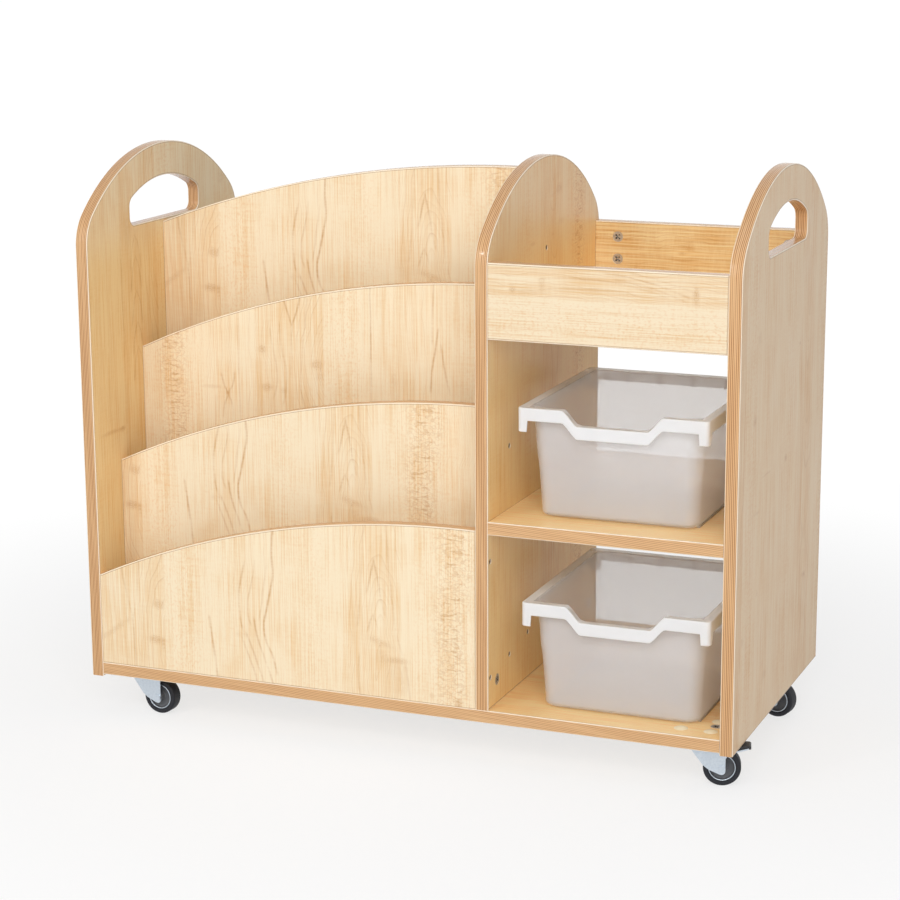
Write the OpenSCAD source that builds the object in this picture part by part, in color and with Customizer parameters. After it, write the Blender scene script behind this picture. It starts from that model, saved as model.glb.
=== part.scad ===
// Art trolley on four swivel castors.
// Left bay: upright boards with curved tops, which make pockets for paper, low at the outside and high
// in the middle of the depth. Right bay: an open box on top, a shelf, and two loose plastic trays.
// Origin: on the floor, under the middle of the whole object, with its brake pedal.
// X runs from left to right, and the front faces -Y.

/* [Overall] */
// Length of the trolley over its two end panels
trolley_l = 940; // [860:1:1200]
// Depth of the trolley, which is the depth of every panel
trolley_d = 450; // [430:1:560]
// Thickness of every board
board_t = 18; // [16:1:19]
// Height of an end panel, from its lower edge to the top of its arch
panel_h = 737; // [720:1:900]
// How far the end panels reach below the base board
base_drop = 3; // [1:0.5:5]
// Width inside the right bay
right_bay_w = 318; // [300:1:380]

/* [Arch and hand slot] */
// Radius of the arch on top of the panels
arch_r = 304; // [290:1:420]
// Radius that turns the arch into the upright edge
shoulder_r = 60; // [30:1:80]
// Width of the hand slot
slot_w = 206; // [140:1:220]
// Height of the hand slot at its middle
slot_h = 61; // [50:1:64]
// Radius of the slot's upper edge
slot_r = 215; // [190:1:300]
// Distance from the top of the arch down to the slot
slot_drop = 48; // [40:1:48]

/* [Tiers] */
// Height of the lowest tier at its highest point
tier_h = 247; // [200:1:260]
// How much higher each tier is than the one outside it
tier_step = 151; // [120:1:151]
// Fall of a tier's top edge towards the left end panel
tier_fall = 118; // [60:1:140]
// Fall of the middle tier's top edge
centre_fall = 98; // [70:1:140]
// Distance from the divider to the highest point of a tier
tier_crest = 34; // [10:1:100]

/* [Right bay] */
// Height of the shelf's top face above the base board
shelf_rise = 260; // [200:1:290]
// Height of the top box's rails
rail_h = 100; // [80:1:110]
// Height of the rails' lower edge above the base board
rail_rise = 502; // [480:1:510]

/* [Fittings] */
// Radius of a cam fitting
cam_r = 7.5; // [7:0.1:8]
// Distance from a board's end to its cam
cam_reach = 34; // [24:1:40]
// Distance from the base board's end to its cam
base_cam_reach = 18; // [16:1:30]
// Radius of a wooden dowel
dowel_r = 4; // [3:0.1:4]
// Depth of any hole in the face of a board
blind_depth = 11; // [9:0.5:12]
// Radius of a tier screw's hole through a panel
screw_r = 3.6; // [3.2:0.1:4]

/* [Castors] */
// Height of a castor, from the floor to the base board
castor_h = 62; // [61:0.5:70]
// Radius of a wheel
wheel_r = 25; // [20:0.5:25]
// Width of a tyre
tyre_w = 19; // [14:0.5:20]
// Distance from the swivel axis to the wheel's axle
castor_trail = 29.5; // [29:0.5:31]
// Distance from an end panel's outer face to the swivel axis
castor_inset = 57.5; // [57:0.5:70]
// Distance from the front edge to the front swivel axes
castor_front = 48; // [48:0.5:60]
// Distance from the rear edge to the rear swivel axes
castor_rear = 98; // [70:1:110]
// Distance between two screws of a castor's plate
bolt_pitch = 40; // [38:0.5:42]
// Side of a castor's square plate
plate_w = 60; // [56:0.5:62]

/* [Trays] */
// Width of a tray over its rim
tray_w = 258; // [220:1:262]
// Depth of a tray over its rim
tray_d = 293; // [240:1:340]
// Height of a tray
tray_h = 151; // [110:1:160]
// Thickness of a tray's wall
tray_wall = 2; // [1.5:0.1:3]
// Height of the skirt that hangs from a tray's rim
skirt_h = 17; // [10:1:24]
// Width of a tray's rim outside its wall
rim_w = 12; // [8:0.5:16]
// Depth of the dip in a tray's front rim
dip_h = 20; // [10:1:30]
// Height of the two runners under a tray
runner_h = 2.5; // [2.5:0.1:5]
// Distance from the front edge to the upper tray
upper_tray_back = 24; // [0:1:60]
// Distance from the front edge to the lower tray
lower_tray_back = 15; // [0:1:60]
// Distance from the right end panel to the upper tray
upper_tray_side = 28; // [8:1:28]
// Distance from the right end panel to the lower tray
lower_tray_side = 19; // [8:1:22]

/* [Hidden] */
// heights above the floor
base_z = castor_h;
base_top = base_z + board_t;
panel_z = base_z - base_drop;
shelf_z = base_top + shelf_rise - board_t;
shelf_top = base_top + shelf_rise;
rail_z = base_top + rail_rise;

// place and direction of the castors' brake, measured from the swivel axis and from the floor
brake_x = castor_trail + 9;
brake_z = 2 * wheel_r + 2;
pedal_end = 28.5;
pedal_w = 19;
front_right_turn = 15.5;

// places along X, with the origin under the middle of everything, so of the panels and of the front brake's
// pedal, which stands out past the right end panel
pedal_reach = (brake_x + pedal_end) * cos(front_right_turn) + pedal_w / 2 * sin(front_right_turn);
pedal_overhang = max(0, pedal_reach - castor_inset);
left_out = -(trolley_l + pedal_overhang) / 2;
right_out = left_out + trolley_l;
left_in = left_out + board_t;
right_in = right_out - board_t;
divider_right = right_in - right_bay_w;
divider_left = divider_right - board_t;
left_bay_w = divider_left - left_in;

// places along Y
front_y = -trolley_d / 2;
rear_y = trolley_d / 2;
tier_pitch = (trolley_d - board_t) / 6;
rail_mid_y = trolley_d / 2 - board_t / 2;

// play between a fitting and its hole, on the radius and at its ends
play = 0.1;
end_play = 0.25;
// gap between two bodies that move past each other
gap = 0.3;
// how far a cutter runs past a face, and how far joined shapes overlap
over = 1;

// cam fittings
cam_neck_r = 4;
cam_floor = 0.5;
cam_depth = board_t / 2 + cam_neck_r + cam_floor;
cam_below_rail_top = [22, 54];
cam_beside_castor = 2;
bolt_thread_r = 2.5;
bolt_ball_r = 3.2;
cross_w = 2.2;
cross_l = 9;
cross_depth = 3;

// dowels and tier screws
dowel_l = 30;
screw_tip_r = 2.6;
screw_bite = 32;
screw_recess = 1.5;
socket_r = 2;
socket_depth = 3;
// heights of the screws that hold a tier, from the lowest tier to the middle one
screw_low = [44, 55, 66, 77];
screw_below_top = [43, 53, 71, 109];
screw_below_left_top = 40;

// castor
plate_t = 2.5;
plate_corner = 6;
pin_r = 4;
pin_head_r = 7;
pin_head_t = 2;
run_fit = 0.05;
crown_r = 20;
crown_t = 2;
crown_rim_t = 2;
ball_r = 1.5;
ball_ring_r = 14;
ball_count = 14;
leg_t = 2;
leg_in = tyre_w / 2 + 2;
leg_out = leg_in + leg_t;
leg_foot_r = 5;
leg_foot_in = 3.2;
leg_foot_back = 0.5;
leg_behind = 12;
axle_r = 3;
axle_head_r = 4.6;
axle_head_t = 1.4;
hub_r = 18.2 * wheel_r / 25;
hub_w = tyre_w - 3;
hub_boss_r = 6;
hub_dish = 4;
hub_lip = 2.5;
tyre_round = 3;
plate_z = castor_h - plate_t;
crown_top = plate_z - 2 * ball_r - 2 * gap;
crown_z = crown_top - crown_t;
screw_head_r = 5.2;
screw_head_h = 2.8;
castor_screw_r = 3;
screw_l = plate_t + board_t - 3.5;
sleeve_r = 4.3;
sleeve_l = board_t - 2;
flange_r = 8.2;
flange_t = 1.5;
cap_r = 9.4;
cap_h = 2.2;
peg_l = 2.2;

// brake, measured from its pin
brake_pin_r = 1.5;
pin_rivet_r = 2.4;
pin_rivet_t = 0.8;
brake_barrel_r = 2.6;
brake_t = 2;
brake_low_x = 7.5;
brake_low_z = -4.6;
brake_tip_x = 25.5;
brake_tip_z = 0.2;
pedal_x = 10.5;
pedal_t = 2.6;
pedal_ridge_h = 2.4;
ear_r = 3.6;

// trays
tray_wall_x = tray_w - 2 * rim_w;
tray_wall_y = tray_d - 2 * rim_w;
floor_in_x = 21;
floor_in_y = 24;
tray_floor_x = tray_w - 2 * floor_in_x;
tray_floor_y = tray_d - 2 * floor_in_y;
tray_corner = 22;
floor_corner = 18;
runner_in = 25;
runner_w = 5;
rim_t = 2;
rim_corner = 6;
skirt_t = 2.5;
dip_top = 135;
dip_low = 96;
// how far the dip's skirt narrows for each millimetre down
dip_lean = 0.35;
tab_w = 12.5;
tab_h = 15;
tab_t = 8;
rib_t = 1.6;
rib_count = 4;
upper_tray_x = right_in - upper_tray_side - tray_w / 2;
lower_tray_x = right_in - lower_tray_side - tray_w / 2;

// each castor: place of its swivel axis, direction in which its wheel trails, whether it has a brake
front_left = [left_out + castor_inset, front_y + castor_front, -4, false];
front_right = [right_out - castor_inset, front_y + castor_front, front_right_turn, true];
rear_left = [left_out + castor_inset, rear_y - castor_rear, 8, true];
rear_right = [right_out - castor_inset, rear_y - castor_rear, -10, false];
castors = [front_left, front_right, rear_left, rear_right];

// tiers from front to rear: middle plane, height above the base board, fall
tiers = [for (i = [0:6]) tier_row(i)];

// A joint between a board's end and another board's face is a place, a turn and the cam's distance from
// the board's end. Turned back, the board lies along +X and its cam opens towards +Z.
turn_left_up = [0, 0, 0];
turn_right_up = [0, 0, 180];
turn_left_down = [180, 0, 0];
turn_right_down = [180, 0, 180];
turn_left_back = [-90, 0, 0];
turn_right_back = [90, 0, 180];
turn_left_front = [90, 0, 0];
turn_right_front = [-90, 0, 180];
turn_stand = [0, -90, 180];

base_cam_edge = castor_front + cam_beside_castor;
base_cam_y = [front_y + base_cam_edge, -36, 36, rear_y - base_cam_edge];
base_mid_z = base_z + board_t / 2;
base_left_joints = [for (y = base_cam_y) [[left_in, y, base_mid_z], turn_left_up, base_cam_reach]];
base_right_joints = [for (y = base_cam_y) [[right_in, y, base_mid_z], turn_right_up, base_cam_reach]];

shelf_mid_z = shelf_z + board_t / 2;
shelf_cam_y = [front_y + 65, rear_y - 65];
shelf_left_joints = [for (y = shelf_cam_y) [[divider_right, y, shelf_mid_z], turn_left_down, cam_reach]];
shelf_right_joints = [for (y = shelf_cam_y) [[right_in, y, shelf_mid_z], turn_right_down, cam_reach]];

floor_mid_z = rail_z + board_t / 2;
floor_cam_y = [-120, 120];
floor_left_joints = [for (y = floor_cam_y) [[divider_right, y, floor_mid_z], turn_left_down, cam_reach]];
floor_right_joints = [for (y = floor_cam_y) [[right_in, y, floor_mid_z], turn_right_down, cam_reach]];

rail_cam_z = [for (drop = cam_below_rail_top) rail_z + rail_h - drop];
front_rail_left_joints = [for (z = rail_cam_z) [[divider_right, -rail_mid_y, z], turn_left_back, cam_reach]];
front_rail_right_joints = [for (z = rail_cam_z) [[right_in, -rail_mid_y, z], turn_right_back, cam_reach]];
back_rail_left_joints = [for (z = rail_cam_z) [[divider_right, rail_mid_y, z], turn_left_front, cam_reach]];
back_rail_right_joints = [for (z = rail_cam_z) [[right_in, rail_mid_y, z], turn_right_front, cam_reach]];

divider_mid_x = divider_left + board_t / 2;
divider_cam_y = [front_y + cam_reach, 0, rear_y - cam_reach];
divider_joints = [for (y = divider_cam_y) [[divider_mid_x, y, base_top], turn_stand, cam_reach]];

cam_joints = concat(base_left_joints, base_right_joints, shelf_left_joints, shelf_right_joints,
    floor_left_joints, floor_right_joints, front_rail_left_joints, front_rail_right_joints,
    back_rail_left_joints, back_rail_right_joints, divider_joints);

// dowels beside the cams, given as places and turns like the cam joints
base_dowel_y = [-75, 75];
base_left_dowels = [for (y = base_dowel_y) [[left_in, y, base_mid_z], turn_left_up]];
base_right_dowels = [for (y = base_dowel_y) [[right_in, y, base_mid_z], turn_right_up]];
shelf_dowel_y = [-90, 90];
shelf_left_dowels = [for (y = shelf_dowel_y) [[divider_right, y, shelf_mid_z], turn_left_up]];
shelf_right_dowels = [for (y = shelf_dowel_y) [[right_in, y, shelf_mid_z], turn_right_up]];
floor_dowel_y = [-30, 30];
floor_left_dowels = [for (y = floor_dowel_y) [[divider_right, y, floor_mid_z], turn_left_up]];
floor_right_dowels = [for (y = floor_dowel_y) [[right_in, y, floor_mid_z], turn_right_up]];
rail_dowel_z = rail_z + 18;
front_rail_dowels = [[[divider_right, -rail_mid_y, rail_dowel_z], turn_left_up],
    [[right_in, -rail_mid_y, rail_dowel_z], turn_right_up]];
back_rail_dowels = [[[divider_right, rail_mid_y, rail_dowel_z], turn_left_up],
    [[right_in, rail_mid_y, rail_dowel_z], turn_right_up]];
divider_dowel_y = [-95, 95];
divider_dowels = [for (y = divider_dowel_y) [[divider_mid_x, y, base_top], turn_stand]];
tier_dowel_x = [left_in + left_bay_w * 0.3, left_in + left_bay_w * 0.7];
tier_dowels = [for (t = tiers) for (x = tier_dowel_x) [[x, t[0], base_top], turn_stand]];

dowels_in_base_top = concat(divider_dowels, tier_dowels);
all_dowels = concat(base_left_dowels, base_right_dowels, shelf_left_dowels, shelf_right_dowels,
    floor_left_dowels, floor_right_dowels, front_rail_dowels, back_rail_dowels, dowels_in_base_top);

$fn = 96;

// Row of the tier list: the tiers rise to the middle one and fall again behind it.
function tier_row(i) = [
    front_y + board_t / 2 + i * tier_pitch,
    tier_h + (3 - abs(i - 3)) * tier_step,
    i == 3 ? centre_fall : tier_fall
];

// Heights above the base board of the screws that hold a tier at its right end, and at its left end.
// The middle tier has one more, half-way up.
function right_screw_z(i) = let (k = 3 - abs(i - 3))
    concat([screw_low[k], tiers[i][1] - screw_below_top[k]], k == 3 ? [tiers[i][1] * 0.48] : []);
function left_screw_z(i) = let (k = 3 - abs(i - 3))
    concat([screw_low[k], tiers[i][1] - tiers[i][2] - screw_below_left_top],
        k == 3 ? [tiers[i][1] * 0.48] : []);

// Draws its children at a joint.
module at_joint(j) {
    translate(j[0]) rotate(j[1]) children();
}

// Draws its children at a castor, with the wheel trailing along +X.
module at_castor(c) {
    translate([c[0], c[1], 0]) rotate([0, 0, c[2]]) children();
}

// Outline with upright sides, an arch on top, rounded shoulders and rounded feet, standing on y = 0.
module arched_outline(w, h, top_r, side_r, foot_r) {
    a = w / 2 - side_r;
    arch_y = h - top_r;
    side_y = arch_y + sqrt(pow(top_r - side_r, 2) - a * a);
    far = (top_r + side_r) / (top_r - side_r);
    translate([-w / 2, foot_r]) square([w, side_y - foot_r]);
    for (s = [-1, 1]) translate([s * a, side_y]) circle(side_r, $fn = 180);
    if (foot_r > 0) {
        translate([-w / 2 + foot_r, 0]) square([w - 2 * foot_r, foot_r + over]);
        for (s = [-1, 1]) translate([s * (w / 2 - foot_r), foot_r]) circle(foot_r);
    }
    intersection() {
        translate([0, arch_y]) circle(top_r, $fn = 720);
        polygon([[-a, side_y - over], [a, side_y - over], [a, side_y],
            [a * far, arch_y + (side_y - arch_y) * far], [0, h + top_r],
            [-a * far, arch_y + (side_y - arch_y) * far], [-a, side_y]]);
    }
}

// Arched board that stands across the trolley, with its left face at x.
module arched_board(x, z, h) {
    translate([x, 0, z]) rotate([90, 0, 90])
        linear_extrude(board_t) arched_outline(trolley_d, h, arch_r, shoulder_r, 0);
}

// Hand slot through an end panel.
module hand_slot(x) {
    translate([x - over, 0, panel_z + panel_h - slot_drop - slot_h]) rotate([90, 0, 90])
        linear_extrude(board_t + 2 * over) arched_outline(slot_w, slot_h, slot_r, 15, 12);
}

// Holes of a cam joint in the board that holds the cam.
module cam_holes(j) {
    at_joint(j) {
        translate([j[2], 0, board_t / 2 - cam_depth]) cylinder(r = cam_r, h = cam_depth + over);
        translate([-over, 0, 0]) rotate([0, 90, 0]) cylinder(r = cam_neck_r, h = j[2] + over);
    }
}

// Hole of a cam joint's bolt in the face of the other board.
module cam_bolt_hole(j) {
    at_joint(j) translate([-blind_depth, 0, 0]) rotate([0, 90, 0])
        cylinder(r = bolt_thread_r, h = blind_depth + over);
}

// Hole of a dowel, in both boards at once.
module dowel_hole(j) {
    at_joint(j) translate([-blind_depth, 0, 0]) rotate([0, 90, 0]) cylinder(r = dowel_r, h = dowel_l);
}

// Hole of a tier screw through an upright board whose left face is at x.
module tier_screw_hole(x, i, z) {
    translate([x - over, tiers[i][0], base_top + z]) rotate([0, 90, 0])
        cylinder(r = screw_r, h = board_t + 2 * over);
}

// The board under everything, with the castors' screw holes.
module base_board() {
    color("burlywood") difference() {
        translate([left_in, front_y, base_z]) cube([right_in - left_in, trolley_d, board_t]);
        for (j = concat(base_left_joints, base_right_joints)) cam_holes(j);
        for (j = divider_joints) cam_bolt_hole(j);
        for (j = concat(base_left_dowels, base_right_dowels, dowels_in_base_top)) dowel_hole(j);
        for (c = castors) at_castor_bolts(c) {
            translate([0, 0, base_z - over]) cylinder(r = sleeve_r, h = board_t + 2 * over);
            translate([0, 0, base_top - flange_t]) cylinder(r = flange_r, h = flange_t + over);
        }
    }
}

module left_end_panel() {
    color("tan") difference() {
        arched_board(left_out, panel_z, panel_h);
        hand_slot(left_out);
        for (j = base_left_joints) cam_bolt_hole(j);
        for (j = base_left_dowels) dowel_hole(j);
        for (i = [0:6]) for (z = left_screw_z(i)) tier_screw_hole(left_out, i, z);
    }
}

module right_end_panel() {
    color("tan") difference() {
        arched_board(right_in, panel_z, panel_h);
        hand_slot(right_in);
        for (j = concat(base_right_joints, shelf_right_joints, floor_right_joints)) cam_bolt_hole(j);
        for (j = concat(front_rail_right_joints, back_rail_right_joints)) cam_bolt_hole(j);
        for (j = concat(base_right_dowels, shelf_right_dowels, floor_right_dowels)) dowel_hole(j);
        for (j = [front_rail_dowels[1], back_rail_dowels[1]]) dowel_hole(j);
    }
}

module divider_panel() {
    color("tan") difference() {
        arched_board(divider_left, base_top, panel_z + panel_h - base_top);
        for (j = divider_joints) cam_holes(j);
        for (j = concat(shelf_left_joints, floor_left_joints)) cam_bolt_hole(j);
        for (j = concat(front_rail_left_joints, back_rail_left_joints)) cam_bolt_hole(j);
        for (j = concat(shelf_left_dowels, floor_left_dowels, divider_dowels)) dowel_hole(j);
        for (j = [front_rail_dowels[0], back_rail_dowels[0]]) dowel_hole(j);
        for (i = [0:6]) for (z = right_screw_z(i)) tier_screw_hole(divider_left, i, z);
    }
}

// Hole of a tier screw's tip in a tier's end.
module tier_pilot_hole(x, y, z) {
    translate([x, y, base_top + z]) rotate([0, 90, 0]) cylinder(r = screw_tip_r, h = screw_bite + over);
}

// Upright board of the left bay. Its top edge is an arc that rises from the left to a crest near
// the divider.
module tier(i) {
    t = tiers[i];
    crest = left_bay_w - tier_crest;
    top_r = (crest * crest + t[2] * t[2]) / (2 * t[2]);
    color("wheat") difference() {
        translate([left_in, t[0] + board_t / 2, base_top]) rotate([90, 0, 0]) linear_extrude(board_t)
            intersection() {
                translate([crest, t[1] - top_r]) circle(top_r, $fn = 1440);
                square([left_bay_w, t[1] + over]);
            }
        for (z = left_screw_z(i)) tier_pilot_hole(left_in - over, t[0], z);
        for (z = right_screw_z(i)) tier_pilot_hole(divider_left - screw_bite, t[0], z);
        for (x = tier_dowel_x) dowel_hole([[x, t[0], base_top], turn_stand]);
    }
}

module shelf_board() {
    color("burlywood") difference() {
        translate([divider_right, front_y, shelf_z]) cube([right_bay_w, trolley_d, board_t]);
        for (j = concat(shelf_left_joints, shelf_right_joints)) cam_holes(j);
        for (j = concat(shelf_left_dowels, shelf_right_dowels)) dowel_hole(j);
    }
}

module top_box_floor() {
    color("burlywood") difference() {
        translate([divider_right, front_y + board_t, rail_z])
            cube([right_bay_w, trolley_d - 2 * board_t, board_t]);
        for (j = concat(floor_left_joints, floor_right_joints)) cam_holes(j);
        for (j = concat(floor_left_dowels, floor_right_dowels)) dowel_hole(j);
    }
}

// Rail of the top box with its middle plane at y.
module box_rail(y, joints, pins) {
    color("wheat") difference() {
        translate([divider_right, y - board_t / 2, rail_z]) cube([right_bay_w, board_t, rail_h]);
        for (j = joints) cam_holes(j);
        for (j = pins) dowel_hole(j);
    }
}

// Cam fittings: drums with a cross slot on top, open at the side where the bolt's ball goes in.
module cam_fittings() {
    color("silver") for (j = cam_joints) at_joint(j) translate([j[2], 0, board_t / 2]) difference() {
        translate([0, 0, -cam_depth]) cylinder(r = cam_r - play, h = cam_depth - play);
        translate([-cam_r - over, 0, -board_t / 2]) rotate([0, 90, 0])
            cylinder(r = bolt_ball_r + gap, h = cam_r + over + bolt_ball_r + gap);
        for (a = [45, 135]) rotate([0, 0, a])
            translate([-cross_l / 2, -cross_w / 2, -cross_depth])
                cube([cross_l, cross_w, cross_depth + over]);
    }
}

// Cam bolts: a thread in the face of one board, and a neck with a ball in the cam of the other.
module cam_bolts() {
    color("gainsboro") for (j = cam_joints) at_joint(j) rotate([0, 90, 0]) {
        translate([0, 0, end_play - blind_depth]) cylinder(r = bolt_thread_r - play, h = blind_depth);
        cylinder(r = cam_neck_r - gap, h = j[2] - cam_r - over);
        cylinder(r = bolt_thread_r - play, h = j[2] - over);
        translate([0, 0, j[2] - over]) sphere(r = bolt_ball_r, $fn = 32);
    }
}

module dowels() {
    color("bisque") for (j = all_dowels) at_joint(j) translate([end_play - blind_depth, 0, 0])
        rotate([0, 90, 0]) cylinder(r = dowel_r - play, h = dowel_l - 2 * end_play);
}

// One tier screw, along +X from its head.
module tier_screw() {
    difference() {
        union() {
            cylinder(r = screw_r - play, h = board_t - screw_recess);
            cylinder(r = screw_tip_r - play, h = board_t - screw_recess + screw_bite - end_play);
        }
        translate([0, 0, -over]) cylinder(r = socket_r, h = socket_depth + over, $fn = 6);
    }
}

module tier_screws() {
    color("dimgray") for (i = [0:6]) {
        for (z = left_screw_z(i))
            translate([left_out + screw_recess, tiers[i][0], base_top + z])
                rotate([0, 90, 0]) tier_screw();
        for (z = right_screw_z(i))
            translate([divider_right - screw_recess, tiers[i][0], base_top + z])
                rotate([0, -90, 0]) tier_screw();
    }
}

// Draws its children at the four screws of a castor's plate.
module at_castor_bolts(c) {
    for (sx = [-1, 1]) for (sy = [-1, 1])
        translate([c[0] + sx * bolt_pitch / 2, c[1] + sy * bolt_pitch / 2, 0]) children();
}

// Screws that come up through the castors' plates.
module castor_bolts() {
    color("silver") for (c = castors) at_castor_bolts(c) {
        translate([0, 0, plate_z - screw_head_h]) cylinder(r = screw_head_r, h = screw_head_h);
        translate([0, 0, plate_z - over]) cylinder(r = castor_screw_r, h = screw_l + over);
    }
}

// Sleeve nuts let into the top of the base board.
module sleeve_nuts() {
    color("gainsboro") for (c = castors) at_castor_bolts(c) difference() {
        union() {
            translate([0, 0, base_top - flange_t]) cylinder(r = flange_r - play, h = flange_t);
            translate([0, 0, base_top - sleeve_l]) cylinder(r = sleeve_r - play, h = sleeve_l);
        }
        translate([0, 0, base_z]) cylinder(r = castor_screw_r + run_fit, h = board_t + over);
    }
}

// Plastic caps over the sleeve nuts in the right bay. The tiers stand over the nuts of the left bay.
module bolt_caps() {
    dome_r = (cap_r * cap_r + cap_h * cap_h) / (2 * cap_h);
    color("ivory") for (c = [front_right, rear_right]) at_castor_bolts(c) {
        intersection() {
            translate([0, 0, base_top + cap_h - dome_r]) sphere(r = dome_r, $fn = 96);
            translate([0, 0, base_top]) cylinder(r = cap_r, h = cap_h + over);
        }
        translate([0, 0, base_top - peg_l]) cylinder(r = castor_screw_r - play, h = peg_l + cap_h / 2);
    }
}

// Rivets that hold the forks under their plates.
module king_pins() {
    head_top = crown_z - gap;
    color("silver") for (c = castors) at_castor(c) {
        translate([0, 0, head_top - pin_head_t]) cylinder(r = pin_head_r, h = pin_head_t);
        translate([0, 0, head_top - over]) cylinder(r = pin_r, h = castor_h - play - head_top + over);
    }
}

// Balls between each plate and the crown of its fork.
module swivel_balls() {
    color("silver") for (c = castors) at_castor(c) for (i = [0:ball_count - 1])
        rotate([0, 0, 360 * i / ball_count])
            translate([ball_ring_r, 0, crown_top + gap + ball_r]) sphere(r = ball_r, $fn = 24);
}

module castor_plate(c) {
    side = plate_w - 2 * plate_corner;
    color("silver") translate([c[0], c[1], plate_z]) difference() {
        linear_extrude(plate_t) {
            square([plate_w, side], center = true);
            square([side, plate_w], center = true);
            for (sx = [-1, 1]) for (sy = [-1, 1]) translate([sx, sy] * side / 2) circle(plate_corner);
        }
        translate([0, 0, -over]) cylinder(r = pin_r + run_fit, h = plate_t + 2 * over);
        for (sx = [-1, 1]) for (sy = [-1, 1]) translate([sx * bolt_pitch / 2, sy * bolt_pitch / 2, -over])
            cylinder(r = castor_screw_r + play, h = plate_t + 2 * over);
    }
}

// Side view of a fork's leg, x from the swivel axis and y from the floor.
module leg_outline(braked) {
    translate([castor_trail, wheel_r]) {
        top = crown_top - wheel_r - over / 2;
        front = leg_foot_r - leg_foot_back;
        polygon([[-castor_trail - leg_behind, top], [-castor_trail - leg_behind, crown_z - wheel_r - 2],
            [-25, 4.5], [-17.5, -1.5], [-3, 0.3 - leg_foot_in - leg_foot_r],
            [front, -leg_foot_in], [front, top]]);
        translate([-leg_foot_back, -leg_foot_in]) circle(leg_foot_r);
    }
    if (braked) {
        translate([brake_x, brake_z]) circle(ear_r);
        polygon([[castor_trail, wheel_r + 7], [brake_x + 2.6, brake_z - 2.4],
            [brake_x, brake_z + ear_r - 0.1], [castor_trail, brake_z + ear_r - 0.1]]);
    }
}

// Fork: a crown with a rim around the balls, and a leg on each side of the wheel.
module fork(c) {
    crown_l = castor_trail + leg_foot_r - leg_foot_back;
    color("lightsteelblue") at_castor(c) difference() {
        union() {
            translate([0, 0, crown_z]) cylinder(r = crown_r, h = crown_t);
            translate([0, -leg_out, crown_z]) cube([crown_l, 2 * leg_out, crown_t]);
            difference() {
                translate([0, 0, crown_z]) cylinder(r = crown_r, h = plate_z - crown_z - 2 * gap);
                translate([0, 0, crown_z + over]) cylinder(r = crown_r - crown_rim_t, h = plate_z);
            }
            for (y = [-leg_in, leg_out]) translate([0, y, 0]) rotate([90, 0, 0])
                linear_extrude(leg_t) leg_outline(c[3]);
        }
        translate([0, 0, crown_z - over]) cylinder(r = pin_r + run_fit, h = crown_t + 2 * over);
        translate([castor_trail, leg_out + over, wheel_r]) rotate([90, 0, 0])
            cylinder(r = axle_r + play, h = 2 * leg_out + 2 * over);
        if (c[3]) translate([brake_x, leg_out + over, brake_z]) rotate([90, 0, 0])
            cylinder(r = brake_pin_r + play, h = 2 * leg_out + 2 * over);
    }
}

module axle(c) {
    color("silver") at_castor(c) translate([castor_trail, 0, wheel_r]) rotate([90, 0, 0]) {
        cylinder(r = axle_r, h = 2 * leg_out + 1, center = true);
        for (s = [-1, 1]) translate([0, 0, s * (leg_out + axle_head_t / 2)])
            cylinder(r = axle_head_r, h = axle_head_t, center = true);
    }
}

// Hub of a wheel, dished on both sides around its boss.
module hub(c) {
    boss_w = 2 * (leg_in - gap);
    color("dimgray") at_castor(c) translate([castor_trail, 0, wheel_r]) rotate([90, 0, 0]) difference() {
        union() {
            cylinder(r = hub_r, h = hub_w, center = true);
            cylinder(r = hub_boss_r, h = boss_w, center = true);
        }
        for (s = [0, 1]) mirror([0, 0, s]) translate([0, 0, hub_w / 2 - hub_dish]) difference() {
            cylinder(r = hub_r - hub_lip, h = hub_dish + over);
            translate([0, 0, -over]) cylinder(r = hub_boss_r, h = hub_dish + 3 * over);
        }
        cylinder(r = axle_r + run_fit, h = boss_w + 2 * over, center = true);
    }
}

module tyre(c) {
    side = tyre_w / 2 - tyre_round;
    color("#26262b") at_castor(c) translate([castor_trail, 0, wheel_r]) rotate([90, 0, 0]) rotate_extrude() {
        translate([hub_r + run_fit, -tyre_w / 2]) square([wheel_r - tyre_round - hub_r - run_fit, tyre_w]);
        translate([wheel_r - tyre_round - over, -side]) square([tyre_round + over, 2 * side]);
        for (s = [-1, 1]) translate([wheel_r - tyre_round, s * side]) intersection() {
            circle(tyre_round);
            translate([0, s < 0 ? -tyre_round : 0]) square(tyre_round);
        }
    }
}

// Draws its children at the brake's pin, with x towards the pedal and y up.
module at_brake(c) {
    at_castor(c) translate([brake_x, 0, brake_z]) rotate([90, 0, 0]) children();
}

// Bent sheet that turns on the brake's pin.
module brake_arm(c) {
    arm_w = 2 * (leg_in - gap);
    color("silver") at_brake(c) difference() {
        union() {
            cylinder(r = brake_barrel_r, h = arm_w, center = true);
            linear_extrude(arm_w - 2, center = true)
                polygon([[0, brake_barrel_r - 0.2], [0.6, 0.4 - brake_barrel_r],
                    [brake_low_x, brake_low_z - brake_t / 2], [brake_tip_x, brake_tip_z - brake_t / 2],
                    [brake_tip_x, brake_tip_z + brake_t / 2],
                    [brake_low_x + 0.6, brake_low_z + brake_t / 2]]);
        }
        cylinder(r = brake_pin_r + run_fit, h = arm_w + 2 * over, center = true);
    }
}

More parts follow.
